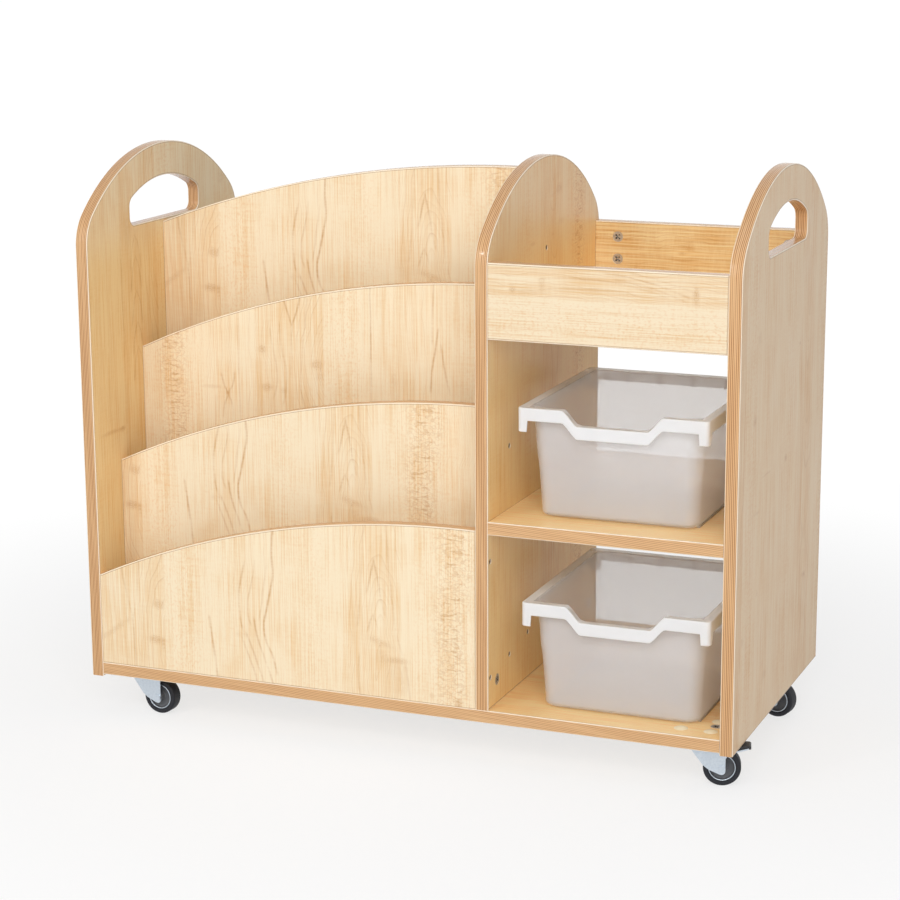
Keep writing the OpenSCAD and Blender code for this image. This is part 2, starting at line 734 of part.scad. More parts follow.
// Black grip that lies on the arm's outer end, with a ridge at its inner edge.
module brake_pedal(c) {
    slope = (brake_tip_z - brake_low_z) / (brake_tip_x - brake_low_x);
    low = brake_low_z + slope * (pedal_x - brake_low_x) + brake_t / 2;
    tip = brake_tip_z + brake_t / 2;
    high = brake_low_z + slope * (pedal_end - brake_low_x) + brake_t / 2;
    color("#1e1e20") at_brake(c) linear_extrude(pedal_w, center = true)
        polygon([[pedal_x, low + run_fit], [brake_tip_x + run_fit, tip + run_fit],
            [brake_tip_x + run_fit, tip - brake_t], [pedal_end, high - brake_t],
            [pedal_end, high + pedal_t - 1], [pedal_end - 2, high + pedal_t - 0.6],
            [pedal_x + 3, low + pedal_t + 0.2], [pedal_x + 1.5, low + pedal_t + pedal_ridge_h],
            [pedal_x, low + pedal_t]]);
}

module brake_pin(c) {
    color("silver") at_brake(c) {
        cylinder(r = brake_pin_r, h = 2 * leg_out + 1, center = true);
        for (s = [-1, 1]) translate([0, 0, s * (leg_out + pin_rivet_t / 2)])
            cylinder(r = pin_rivet_r, h = pin_rivet_t, center = true);
    }
}

// Thin upright slab with rounded corners, centred, with its lower face at z.
module round_slab(w, d, r, z, h) {
    translate([0, 0, z]) linear_extrude(h) {
        square([w - 2 * r, d], center = true);
        square([w, d - 2 * r], center = true);
        for (sx = [-1, 1]) for (sy = [-1, 1])
            translate([sx * (w / 2 - r), sy * (d / 2 - r)]) circle(r, $fn = 32);
    }
}

// Tapered block between a small floor outline and a large top outline, inset by a wall.
module tray_block(wall, z0, z1) {
    skin = 0.01;
    hull() {
        round_slab(tray_floor_x - 2 * wall, tray_floor_y - 2 * wall, floor_corner - wall, z0, skin);
        round_slab(tray_wall_x - 2 * wall, tray_wall_y - 2 * wall, tray_corner - wall, z1 - skin, skin);
    }
}

// Front view of the rim's dip: a band that follows the rim's upper edge, h high.
module dip_band(h) {
    polygon([[-tray_w / 2, tray_h], [-dip_top / 2, tray_h], [-dip_low / 2, tray_h - dip_h],
        [dip_low / 2, tray_h - dip_h], [dip_top / 2, tray_h], [tray_w / 2, tray_h],
        [tray_w / 2, tray_h - h], [dip_top / 2 - h * dip_lean, tray_h - h],
        [dip_low / 2 - h * dip_lean, tray_h - dip_h - h], [-dip_low / 2 + h * dip_lean, tray_h - dip_h - h],
        [-dip_top / 2 + h * dip_lean, tray_h - h], [-tray_w / 2, tray_h - h]]);
}

// Everything above the dip's edge in the front of the tray.
module dip_cut() {
    translate([0, -tray_wall_y / 2 + tray_corner, 0]) rotate([90, 0, 0]) linear_extrude(tray_d)
        polygon([[-dip_top / 2, tray_h], [-dip_low / 2, tray_h - dip_h], [dip_low / 2, tray_h - dip_h],
            [dip_top / 2, tray_h], [dip_top / 2 + over, tray_h + over],
            [-dip_top / 2 - over, tray_h + over]]);
}

// Draws its children at the four corners, mirrored so that +X and +Y point outwards.
module at_corners(x, y) {
    for (sx = [0, 1]) for (sy = [0, 1])
        mirror([sx, 0, 0]) mirror([0, sy, 0]) translate([x, y, 0]) children();
}

// Flat rim with a skirt, with tabs under its corners, and ribs under its rear.
module tray_rim() {
    skirt_z = tray_h - skirt_h;
    difference() {
        round_slab(tray_w, tray_d, rim_corner, skirt_z, skirt_h);
        round_slab(tray_w - 2 * skirt_t, tray_d - 2 * skirt_t, rim_corner - skirt_t / 2, skirt_z - over,
            skirt_h - rim_t + over);
    }
    at_corners(tray_w / 2 - tab_w, tray_d / 2 - tab_t)
        translate([0, 0, skirt_z - tab_h]) cube([tab_w, tab_t, tab_h + skirt_h - rim_t / 2]);
    for (i = [1:rib_count])
        translate([(i / (rib_count + 1) - 0.5) * tray_wall_x, tray_wall_y / 2 - over, skirt_z + over])
            cube([rib_t, rim_w, skirt_h - 2 * over]);
}

// Piece of the dip's band, t deep, with its front face at y.
module dip_piece(h, y, t) {
    translate([0, y + t, 0]) rotate([90, 0, 0]) linear_extrude(t) intersection() {
        dip_band(h);
        translate([-dip_top / 2, 0]) square([dip_top, tray_h]);
    }
}

// Tray: tapered walls, a rim with a dip in front, and two runners below.
module tray(x, y, z) {
    color("whitesmoke", 0.8) translate([x, y + tray_d / 2, z]) {
        difference() {
            union() {
                tray_block(0, runner_h, tray_h);
                tray_rim();
            }
            tray_block(tray_wall, runner_h + tray_wall, tray_h + over);
            dip_cut();
        }
        dip_piece(skirt_h, -tray_d / 2, skirt_t);
        dip_piece(rim_t, -tray_d / 2 + over, rim_w + tray_wall - over);
        for (s = [-1, 1])
            translate([s * (tray_w / 2 - runner_in) - runner_w / 2, floor_corner - tray_floor_y / 2, 0])
                cube([runner_w, tray_floor_y - 2 * floor_corner, runner_h + tray_wall / 2]);
    }
}

base_board();
left_end_panel();
right_end_panel();
divider_panel();
tier(0);  // front_tier_low
tier(1);  // front_tier_middle
tier(2);  // front_tier_high
tier(3);  // centre_tier
tier(4);  // rear_tier_high
tier(5);  // rear_tier_middle
tier(6);  // rear_tier_low
shelf_board();
top_box_floor();
box_rail(-rail_mid_y, concat(front_rail_left_joints, front_rail_right_joints), front_rail_dowels);  // top_box_front_rail
box_rail(rail_mid_y, concat(back_rail_left_joints, back_rail_right_joints), back_rail_dowels);  // top_box_back_rail
cam_fittings();
cam_bolts();
dowels();
tier_screws();
castor_bolts();
sleeve_nuts();
bolt_caps();
king_pins();
swivel_balls();
castor_plate(front_left);  // castor_plate_front_left
castor_plate(front_right);  // castor_plate_front_right
castor_plate(rear_left);  // castor_plate_rear_left
castor_plate(rear_right);  // castor_plate_rear_right
fork(front_left);  // fork_front_left
fork(front_right);  // fork_front_right
fork(rear_left);  // fork_rear_left
fork(rear_right);  // fork_rear_right
axle(front_left);  // axle_front_left
axle(front_right);  // axle_front_right
axle(rear_left);  // axle_rear_left
axle(rear_right);  // axle_rear_right
hub(front_left);  // hub_front_left
hub(front_right);  // hub_front_right
hub(rear_left);  // hub_rear_left
hub(rear_right);  // hub_rear_right
tyre(front_left);  // tyre_front_left
tyre(front_right);  // tyre_front_right
tyre(rear_left);  // tyre_rear_left
tyre(rear_right);  // tyre_rear_right
brake_arm(front_right);  // brake_arm_front_right
brake_pedal(front_right);  // brake_pedal_front_right
brake_pin(front_right);  // brake_pin_front_right
brake_arm(rear_left);  // brake_arm_rear_left
brake_pedal(rear_left);  // brake_pedal_rear_left
brake_pin(rear_left);  // brake_pin_rear_left
tray(upper_tray_x, front_y + upper_tray_back, shelf_top);  // upper_tray
tray(lower_tray_x, front_y + lower_tray_back, base_top);  // lower_tray
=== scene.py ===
"""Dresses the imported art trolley: printed boards with lipped edges, frosted trays and castors."""

import logging
import math
from dataclasses import dataclass, field
from enum import Enum
from typing import Any, Optional, Union

import bmesh
import bpy
import numpy as np
from mathutils import Matrix, Vector
from mathutils.geometry import tessellate_polygon


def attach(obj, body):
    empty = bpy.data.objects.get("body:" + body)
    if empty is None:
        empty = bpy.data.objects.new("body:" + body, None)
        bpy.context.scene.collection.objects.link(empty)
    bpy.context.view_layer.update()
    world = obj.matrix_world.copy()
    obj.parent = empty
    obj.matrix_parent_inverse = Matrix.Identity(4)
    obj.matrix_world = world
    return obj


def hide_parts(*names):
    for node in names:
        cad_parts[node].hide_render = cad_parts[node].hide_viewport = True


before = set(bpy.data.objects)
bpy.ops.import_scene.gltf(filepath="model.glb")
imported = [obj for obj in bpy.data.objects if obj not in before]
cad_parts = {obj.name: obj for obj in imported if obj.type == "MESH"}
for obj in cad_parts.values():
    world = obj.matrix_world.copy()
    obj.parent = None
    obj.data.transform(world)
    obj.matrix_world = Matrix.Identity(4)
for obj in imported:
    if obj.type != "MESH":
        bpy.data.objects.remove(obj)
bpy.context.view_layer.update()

MM = 0.001
Rgba = tuple[float, float, float, float]
WHITE: Rgba = (1.0, 1.0, 1.0, 1.0)
SHARP = 0.6  # angle in radians above which an edge is sharp
log = logging.getLogger("trolley")


def paint(red: float, green: float, blue: float) -> Rgba:
    """Linear colour from screen values of 0 to 255: a power of 2.4 above the short straight foot.

    Args:
        red: screen value of red.
        green: screen value of green.
        blue: screen value of blue.

    Returns:
        The colour, opaque.
    """
    channels = np.array([red, green, blue]) / 255
    linear = np.where(channels <= 0.04045, channels / 12.92, ((channels + 0.055) / 1.055) ** 2.4)
    return (float(linear[0]), float(linear[1]), float(linear[2]), 1.0)


# ---- Material graphs ----


class Signal:
    """One output of a node graph. Arithmetic on it adds Math nodes to the graph."""

    def __init__(self, graph: "Graph", socket: Any) -> None:
        """Keeps the graph that the output belongs to, and the output."""
        self.graph = graph
        self.socket = socket

    def other(self, name: Union[str, int]) -> "Signal":
        """Another output of the same node."""
        return Signal(self.graph, self.socket.node.outputs[name])

    def _math(self, operation: str, *values: Any) -> "Signal":
        """A Math node of one operation on the given values."""
        return self.graph.add("ShaderNodeMath", {"operation": operation}, dict(enumerate(values)))

    def __add__(self, value: "Number") -> "Signal":
        """self + value."""
        return self._math("ADD", self, value)

    __radd__ = __add__

    def __sub__(self, value: "Number") -> "Signal":
        """self - value."""
        return self._math("SUBTRACT", self, value)

    def __rsub__(self, value: "Number") -> "Signal":
        """value - self."""
        return self._math("SUBTRACT", value, self)

    def __mul__(self, value: "Number") -> "Signal":
        """self * value."""
        return self._math("MULTIPLY", self, value)

    __rmul__ = __mul__

    def __truediv__(self, value: "Number") -> "Signal":
        """self / value."""
        return self._math("DIVIDE", self, value)

    def __rtruediv__(self, value: "Number") -> "Signal":
        """value / self."""
        return self._math("DIVIDE", value, self)

    def __pow__(self, value: "Number") -> "Signal":
        """self to a power."""
        return self._math("POWER", self, value)

    def above(self, value: "Number") -> "Signal":
        """1 where self is above the value, else 0."""
        return self._math("GREATER_THAN", self, value)

    def below(self, value: "Number") -> "Signal":
        """1 where self is below the value, else 0."""
        return self._math("LESS_THAN", self, value)

    def size(self) -> "Signal":
        """Value without its sign."""
        return self._math("ABSOLUTE", self)

    def whole(self) -> "Signal":
        """Whole part of the value."""
        return self._math("FLOOR", self)

    def fraction(self) -> "Signal":
        """What is left over the whole part."""
        return self._math("FRACT", self)

    def root(self) -> "Signal":
        """Square root."""
        return self._math("SQRT", self)

    def sine(self) -> "Signal":
        """Sine, in radians."""
        return self._math("SINE", self)

    def highest(self, value: "Number") -> "Signal":
        """The larger of self and the value."""
        return self._math("MAXIMUM", self, value)

    def scaled(self, factor: float, offset: "Number") -> "Signal":
        """self * factor + offset."""
        return self._math("MULTIPLY_ADD", self, factor, offset)

    def rise(self, low: float, high: float, start: float = 0.0, end: float = 1.0) -> "Signal":
        """Smooth step: start up to low, end from high on."""
        ends = {"Value": self, "From Min": low, "From Max": high, "To Min": start, "To Max": end}
        return self.graph.add("ShaderNodeMapRange", {"interpolation_type": "SMOOTHSTEP"}, ends)


Number = Union[Signal, float, int]


class Graph:
    """A node tree and the nodes in it."""

    def __init__(self, owner: Any) -> None:
        """Starts with an empty node tree.

        Args:
            owner: the material or the world that the tree belongs to.
        """
        owner.use_nodes = True
        self.tree = owner.node_tree
        self.tree.nodes.clear()

    def _prepare(self, node: Any, name: str, value: Any) -> None:
        """Sets one property of a node.

        Args:
            node: the node.
            name: the property, or "stops" for a ramp's colours by position, "steps" for the ramp's
                kind, or "curve" for the points of a curve.
            value: its value.
        """
        if name == "stops":
            elements = node.color_ramp.elements
            while len(elements) < len(value):
                elements.new(1.0)
            for element, (place, colour) in zip(elements, value):
                element.position = place
                element.color = colour
        elif name == "steps":
            node.color_ramp.interpolation = value
        elif name == "curve":
            points = node.mapping.curves[0].points
            while len(points) < len(value):
                points.new(0.5, 0.5)
            for point, place in zip(points, value):
                point.location = place
            node.mapping.update()
        else:
            setattr(node, name, value)

    def add(self, kind: str, settings: Optional[dict] = None, inputs: Optional[dict] = None,
            output: Union[str, int] = 0) -> Signal:
        """Adds any node.

        Args:
            kind: the node's type.
            settings: its properties, set first.
            inputs: a value or a Signal for each input, by name or number.
            output: the output that is wanted.

        Returns:
            The wanted output.
        """
        node = self.tree.nodes.new(kind)
        for name, value in (settings or {}).items():
            self._prepare(node, name, value)
        for key, value in (inputs or {}).items():
            self.feed(node.inputs[key], value)
        return Signal(self, node.outputs[output] if len(node.outputs) else None)

    def feed(self, socket: Any, value: Any) -> None:
        """Feeds an input.

        Args:
            socket: the input.
            value: a Signal, which is linked, or a value, which is set.
        """
        if isinstance(value, Signal):
            self.tree.links.new(value.socket, socket)
        else:
            socket.default_value = value

    def vector(self, x: Number, y: Number = 0.0, z: Number = 0.0) -> Signal:
        """A vector of three values."""
        return self.add("ShaderNodeCombineXYZ", None, {0: x, 1: y, 2: z})

    def noise(self, spot: Signal, detail: float = 2.0, rough: float = 0.5) -> Signal:
        """Smooth noise of 0 to 1 at a spot, one bump per unit."""
        return self.add("ShaderNodeTexNoise", None,
                        {"Vector": spot, "Scale": 1.0, "Detail": detail, "Roughness": rough})

    def dice(self, value: Signal) -> Signal:
        """A random number of 0 to 1 for each whole value."""
        return self.add("ShaderNodeTexWhiteNoise", {"noise_dimensions": "1D"}, {"W": value})

    def ramp(self, value: Signal, stops: list[tuple],
             steps: bool = False) -> tuple[Signal, Signal, Signal]:
        """Three numbers that a colour ramp carries in its red, green and blue.

        Args:
            value: place on the ramp, of 0 to 1.
            stops: a place and three numbers of 0 to 1 for each stop.
            steps: whether the numbers hold up to the next stop, or pass into its numbers.

        Returns:
            The three numbers.
        """
        look = self.add("ShaderNodeValToRGB",
                        {"stops": [(place, numbers + (1.0,)) for place, numbers in stops],
                         "steps": "CONSTANT" if steps else "LINEAR"}, {0: value})
        parts = self.add("ShaderNodeSeparateColor", None, {0: look})
        return parts, parts.other(1), parts.other(2)

    def mix(self, share: Number, first: Any, second: Any, how: str = "MIX") -> Signal:
        """Blends two colours."""
        settings = {"data_type": "RGBA", "blend_type": how, "clamp_factor": True}
        return self.add("ShaderNodeMix", settings, {0: share, 6: first, 7: second}, 2)

    def bump(self, height: Signal, reach: float, strength: float = 0.5) -> Signal:
        """Normal from a height of 0 to 1 that stands for a reach in millimetres."""
        return self.add("ShaderNodeBump", None,
                        {"Height": height, "Distance": reach * MM, "Strength": strength})

    def seen(self) -> Signal:
        """Which rays see the white background: the camera's, and those off metal or glass."""
        path = self.add("ShaderNodeLightPath", None, None, "Is Camera Ray")
        return path.highest(path.other("Is Glossy Ray")).highest(path.other("Is Transmission Ray"))


class Coat(Graph):
    """Graph of one material, with a Principled shader and the Object coordinates."""

    def __init__(self, name: str) -> None:
        """Starts the material.

        Args:
            name: the material's name.
        """
        self.material = bpy.data.materials.new(name)
        super().__init__(self.material)
        self.shader = self.add("ShaderNodeBsdfPrincipled")
        place = self.add("ShaderNodeTexCoord", None, None, "Object")
        parts = self.add("ShaderNodeSeparateXYZ", None, {0: place})
        self.spot = tuple(axis * (1 / MM) for axis in (parts, parts.other(1), parts.other(2)))

    def set(self, **inputs: Any) -> None:
        """Sets the shader's inputs; an underscore in a name stands for a space."""
        for key, value in inputs.items():
            self.feed(self.shader.socket.node.inputs[key.replace("_", " ")], value)

    def speckle(self, rates: tuple[float, float, float], detail: float = 2.0,
                rough: float = 0.5) -> Signal:
        """Smooth noise of 0 to 1 over the piece.

        Args:
            rates: bumps per millimetre along each axis.
            detail: how many finer layers it has.
            rough: how strong they are.

        Returns:
            The noise.
        """
        return self.noise(self.vector(*(axis * rate for axis, rate in zip(self.spot, rates))),
                          detail, rough)

    def done(self, surface: Optional[Signal] = None) -> Any:
        """Puts a shader, else the Principled one, on the material's output.

        Args:
            surface: the shader, if it isn't the Principled one.

        Returns:
            The material.
        """
        self.add("ShaderNodeOutputMaterial", None, {"Surface": surface or self.shader})
        return self.material


# ---- The maple print ----


class Lay(Enum):
    """How a board lies: the axes of its outline's two coordinates, then that of its thickness."""

    ACROSS = (1, 2, 0)
    UPRIGHT = (0, 2, 1)
    LEVEL = (0, 1, 2)


class Grain(Enum):
    """Which of the outline's coordinates the grain runs along."""

    FIRST = 0
    SECOND = 1


class ShadeAndToneTint(Enum):
    """Painted bounce light and shade over the print on one face; COOL and YELLOW shift the tone."""

    PLAIN = (1.0, 1.0, 1.0)
    # painted warm bounce shade on the faces round a bay
    WARM_SHADE = (1.0, 0.88, 0.64)
    # painted deeper bounce shade on the divider's face in the right bay
    DEEP_SHADE = (1.06, 0.91, 0.62)
    # painted light on the tops of the base and the shelf
    TOP_LIGHT = (1.12, 0.98, 0.72)
    YELLOW = (1.03, 1.02, 0.86)
    COOL = (0.93, 0.925, 0.93)
    # painted shade on the right panel's shaded outer face
    SIDE_SHADE = (0.93, 0.84, 0.77)


@dataclass(frozen=True)
class Print:
    """How the print lies on one face: its shift across and along the grain, 1 or -1 for its turn,
    the tint over it (painted bounce light and shade, except COOL and YELLOW, which shift the
    tone), and how much of the tint is left above the top box."""

    across: float = 0.0
    along: float = -9000.0
    turn: float = 1.0
    shade_tint: ShadeAndToneTint = ShadeAndToneTint.PLAIN
    shade_left_above: float = 1.0


@dataclass(frozen=True)
class Stretch:
    """Lowest and highest place on a line, such as the stretch of the print that a board shows."""

    low: float
    high: float


@dataclass(frozen=True)
class Weave:
    """Noise of the print: bumps per millimetre across and along it, seed, detail and roughness."""

    across: float
    along: float
    seed: float
    detail: float = 2.0
    rough: float = 0.5


@dataclass(frozen=True)
class Mark:
    """Soft darker patch: its place across and along, half width, half height, strength and lean."""

    across: float
    along: float
    wide: float
    high: float
    depth: float = 0.5
    lean: float = 0.0


@dataclass(frozen=True)
class Vein:
    """Dark line: the places along and across that it runs through, its strength and half width."""

    path: tuple
    depth: float
    wide: float = 1.0


# across, along, half width, half height, strength, lean
MARKS = (
    (24, 53, 27, 8, 0.55, 0.7), (93, 95, 10, 8, 0.7), (88, 43, 17, 7, 0.8), (98, 38, 6, 9, 0.5),
    (430, 78, 22, 7, 0.55, -0.25), (458, 55, 20, 5, 0.6), (458, 28, 22, 34, 0.4),
    (434, 58, 12, 12, 0.35), (505, 12, 4, 5, 0.6), (222, 66, 12, 5, 0.3), (6, 840, 9, 9, 0.9),
    (14, 785, 13, 6, 0.7), (40, 782, 8, 6, 0.5), (92, 822, 12, 9, 0.8), (96, 806, 7, 12, 0.5),
    (621, 773, 5, 9, 0.7), (598, 780, 20, 3, 0.4), (208, 810, 6, 16, 0.4), (632, 1724, 34, 4, 0.7),
    (655, 1722, 10, 5, 0.6), (307, 2045, 14, 14, 0.4), (18, 2000, 16, 30, 0.3),
    (452, 3066, 15, 8, 0.6), (425, 3006, 5, 3, 0.7), (540, 2990, 12, 8, 0.4),
    (345, 3003, 13, 3, 0.5), (460, 3020, 16, 6, 0.4), (94, 3434, 7, 5, 0.8), (96, 3455, 4, 24, 0.4),
    (86, 3474, 12, 6, 0.5), (88, 3677, 15, 6, 0.9), (50, 4530, 4, 8, 0.8), (60, 4540, 14, 8, 0.4),
    (20, 4420, 24, 30, 0.4), (150, 5405, 9, 9, 0.8), (313, 5322, 6, 5, 0.9),
    (430, 5129, 14, 5, 0.7), (215, 5322, 28, 2, 0.7), (225, 5045, 16, 9, 0.5),
    (380, 5467, 10, 2.5, 0.7), (105, 5124, 12, 9, 0.5), (165, 5280, 30, 3, 0.4),
    (165, 5510, 10, 10, 0.4), (178, 5170, 7, 6, 0.4),
)
# strength, half width, then along and across for each place
VEINS = (
    (0.5, 1.0, 75, 50, 100, 44, 130, 37, 175, 32), (0.4, 1.0, 72, 52, 100, 57, 150, 62, 190, 64),
    (0.5, 1.0, -20, 53, 40, 52, 72, 50), (0.9, 1.1, -10, 184, 35, 178, 60, 175, 88, 172),
    (1.0, 1.1, 14, 275, 40, 268, 60, 259, 80, 256, 105, 260, 135, 267, 155, 271, 180, 270, 232, 273),
    (0.7, 1.0, -6, 270, 30, 258, 50, 250, 75, 243, 92, 241),
    (0.6, 1.0, -8, 256, 20, 247, 45, 238, 68, 229), (0.6, 1.0, -8, 245, 20, 238, 40, 230, 62, 222),
    (0.75, 1.0, 72, 223, 95, 219, 125, 219, 145, 222, 172, 229),
    (0.35, 1.0, 80, 236, 105, 231, 140, 238, 175, 244), (0.3, 1.0, 90, 249, 130, 256, 170, 262),
    (0.4, 1.0, -8, 402, 30, 397, 58, 399), (0.35, 1.0, 96, 397, 150, 402, 245, 407),
    (0.35, 1.0, 64, 462, 90, 455, 150, 447, 245, 440), (0.3, 1.0, -10, 474, 30, 470, 52, 466),
    (0.75, 1.0, 146, 411, 170, 417, 192, 422), (0.7, 1.0, 116, 437, 150, 430, 175, 426, 192, 422),
    (0.7, 1.0, 92, 412, 104, 415, 116, 420), (0.6, 1.0, 95, 427, 106, 424, 116, 420),
    (0.7, 1.0, 875, 54, 890, 49, 905, 44, 930, 40), (0.7, 1.0, 875, 54, 890, 60, 905, 65, 935, 69),
    (0.4, 1.0, 800, 50, 840, 52, 873, 54), (0.4, 1.0, 770, 24, 800, 30, 830, 26, 870, 20),
    (0.4, 1.0, 760, 38, 800, 45, 835, 39, 880, 34), (0.35, 1.0, 760, 70, 800, 66, 840, 70, 920, 78),
    (0.8, 0.8, 770, 174, 960, 174), (0.8, 1.0, 795, 263, 830, 266, 860, 271, 885, 275),
    (0.6, 1.0, 795, 291, 830, 284, 862, 279), (0.5, 1.0, 862, 266, 900, 266, 955, 270),
    (0.55, 1.0, 735, 613, 758, 617, 770, 622, 784, 616, 800, 612),
    (0.5, 1.0, 735, 629, 756, 628, 772, 624, 786, 630, 804, 633),
    (0.3, 1.0, 700, 600, 745, 602, 770, 604), (0.35, 1.0, 700, 641, 800, 640, 900, 641),
    (0.45, 1.0, 3555, 66, 3600, 72, 3640, 82, 3672, 93), (0.4, 1.0, 3570, 74, 3610, 80, 3665, 97),
    (0.4, 1.0, 3590, 65, 3630, 72, 3680, 86), (0.3, 1.0, 3480, 90, 3540, 88, 3600, 92),
    (0.35, 1.0, 3470, 78, 3550, 76, 3640, 92), (0.4, 0.7, 1500, -1, 2000, -1),
)


def trace(depth: float, wide: float, *places: float) -> Vein:
    """Vein from its strength, its half width and the numbers of its places in a row."""
    return Vein(tuple(zip(places[::2], places[1::2])), depth, wide)


def peaks(across: float, tops: tuple, depth: float) -> tuple:
    """Pairs of lines that meet in pointed tops, one over another, as at the heart of a board.

    Args:
        across: place of the tops across.
        tops: places of the tops along.
        depth: strength of the lines.

    Returns:
        The veins: from each top a leg falls to either side through the same steps.
    """
    legs = ((-48.0, 15.0), (-30.0, 12.0), (-12.0, 7.0), (0.0, 0.0))
    return tuple(Vein(tuple((top + drop, across + side * reach) for drop, reach in legs), depth)
                 for top in tops for side in (-1, 1))


def swerve(across: float, along: float, low: float, high: float, depth: float) -> tuple:
    """Parallel lines that part round a knot.

    Args:
        across: place of the knot across.
        along: place of the knot along.
        low: where the lines start, along.
        high: where they end.
        depth: strength of the strongest.

    Returns:
        The veins: each moves aside by a bell, which shrinks by a power of e with its distance.
    """
    rows = (-41, -34, -28, -22, -17, -12, -7, -3, 3, 7, 12, 17, 22, 28, 34)
    bells = ((-70, 0.0), (-24, 0.15), (-12, 0.6), (0, 1.0), (12, 0.6), (24, 0.15), (70, 0.0))
    veins = []
    for row in rows:
        aside = math.copysign(5.0 * math.exp(-abs(row) / 16.0), row)
        places = ((low, across + row),
                  *((along + step, across + row + aside * bell) for step, bell in bells),
                  (high, across + row))
        veins.append(Vein(places, depth * (0.55 + 0.45 * ((row * 7) % 3) / 2), 1.2))
    return tuple(veins)


@dataclass(frozen=True)
class MaplePrint:
    """Maple-printed board with a lipped edge: staves of straight and flame grain, flecks, fibres.

    The print repeats across the grain. All lengths are millimetres.
    """

    pale: Rgba = paint(249, 231, 199)
    tan: Rgba = paint(238, 204, 157)
    line: Rgba = paint(206, 156, 100)
    fleck: Rgba = paint(236, 186, 128)
    seam: Rgba = paint(150, 104, 66)
    lip_light: Rgba = paint(228, 186, 138)
    lip_dark: Rgba = paint(170, 114, 68)
    # pale rounding of the lipping, brightened as a painted highlight
    pale_arris_highlight: Rgba = paint(255, 241, 218)
    repeat: float = 670.0
    start: float = -4.0
    ring_gap: float = 3.6
    ring_lean: float = 0.02
    quilt_place: float = 535.0
    seam_share: float = 0.55
    stripe: float = 2.3
    # heights over which a face's painted bounce shade fades to what is left above the top box
    fade: Stretch = Stretch(630.0, 720.0)
    wave: Weave = Weave(0.008, 0.009, 1.7)
    ripple: Weave = Weave(0.03, 0.03, 4.0)
    fibre: Weave = Weave(0.5, 0.006, 2.0, 2.0, 0.6)
    hair: Weave = Weave(1.0, 0.012, 9.0, 1.0)
    band: Weave = Weave(0.06, 0.0035, 11.0)
    cloud: Weave = Weave(0.022, 0.016, 21.0)
    flame: Weave = Weave(0.05, 0.28, 31.0, 2.0, 0.6)
    dot: Weave = Weave(0.36, 0.2, 6.0, 1.0)
    worm: Weave = Weave(0.10, 0.16, 13.0, 1.0)
    dash: Weave = Weave(0.045, 0.24, 13.0, 1.0)
    # where a tone holds, across: tone, strength of the flecks, strength of the ring lines
    tones: tuple = (
        (-4, 0.50, 0.1, 0.8), (22, 0.40, 0.1, 0.6), (52, 0.54, 0.1, 0.6), (76, 0.48, 0.1, 0.8),
        (102.4, 0.60, 0.2, 0.8), (103, 0.02, 0.5, 0.1), (122, 0.10, 0.8, 0.1), (142, 0.26, 1.0, 0.1),
        (160, 0.06, 0.4, 0.2), (176, 0.04, 0.2, 0.2), (200, 0.28, 0.3, 0.3), (226, 0.30, 0.1, 0.5),
        (256, 0.12, 0.1, 0.5), (268, 0.02, 0.1, 0.3), (285, 0.18, 0.2, 0.1), (330, 0.26, 0.6, 0.1),
        (362, 0.08, 0.2, 0.1), (381, 0.14, 0.2, 0.3), (388, 0.44, 0.1, 0.7), (430, 0.52, 0.1, 0.5),
        (456, 0.38, 0.1, 0.6), (465, 0.02, 0.1, 0.1), (477.6, 0.0, 0.1, 0.1), (478, 0.20, 0.4, 0.1),
        (500, 0.16, 0.5, 0.1), (532, 0.34, 0.9, 0.1), (556, 0.04, 0.7, 0.2), (590, 0.16, 0.2, 0.5),
        (625, 0.26, 0.1, 0.6), (650, 0.10, 0.1, 0.5), (665.5, 0.22, 0.1, 0.4))
    # where a stave starts, across: middle, height and lean of its rings
    rings: tuple = ((-4, 118, 43, 0.40), (103, 330, 300, 0.30), (180, 330, 20, 0.22),
                    (285, 120, 100, 0.30), (381, 430, 60, 0.20), (478, 300, 0, 0.35))
    marks: tuple = tuple(Mark(*row) for row in MARKS)
    veins: tuple = (tuple(trace(*row) for row in VEINS)
                    + peaks(40.0, (1832.0, 1868.0, 1913.0, 1962.0, 1992.0), 0.55)
                    + swerve(50.0, 4530.0, 4380.0, 4740.0, 0.9))

    def share(self, place: float) -> float:
        """Part of the repeat that lies before a place."""
        return (place - self.start) / self.repeat

    def stave(self, across: float) -> Stretch:
        """Where a stave starts and ends, across.

        Args:
            across: a place on it.

        Returns:
            Its stretch.
        """
        starts = [ring[0] for ring in self.rings] + [self.start + self.repeat]
        rank = max(index for index, low in enumerate(starts[:-1]) if low <= across)
        return Stretch(starts[rank], starts[rank + 1])

    def material(self, board: "Board") -> Any:
        """Makes the finish of one board: the print on its faces, the lipping round its edge.

        Args:
            board: the board, for its lie, grain, middle plane and how the print lies on its faces.

        Returns:
            The material.
        """
        graph = Coat("maple_" + board.name)
        first, second, deep = (graph.spot[axis] for axis in board.lay.value)
        run, across = (first, second) if board.grain is Grain.FIRST else (second, first)
        deep = deep - board.middle
        face = deep.above(0.0)
        near, far = board.prints
        across = across * (near.turn + face * (far.turn - near.turn)) + face * (
            far.across - near.across) + near.across
        run = run + face * (far.along - near.along) + near.along
        lean = 0.0 if board.grain is Grain.FIRST else self.ring_lean
        figure = Figure(graph, self, run, across, lean)
        wood = graph.mix(figure.dark(board.seen), figure.tone_colour(), self.line)
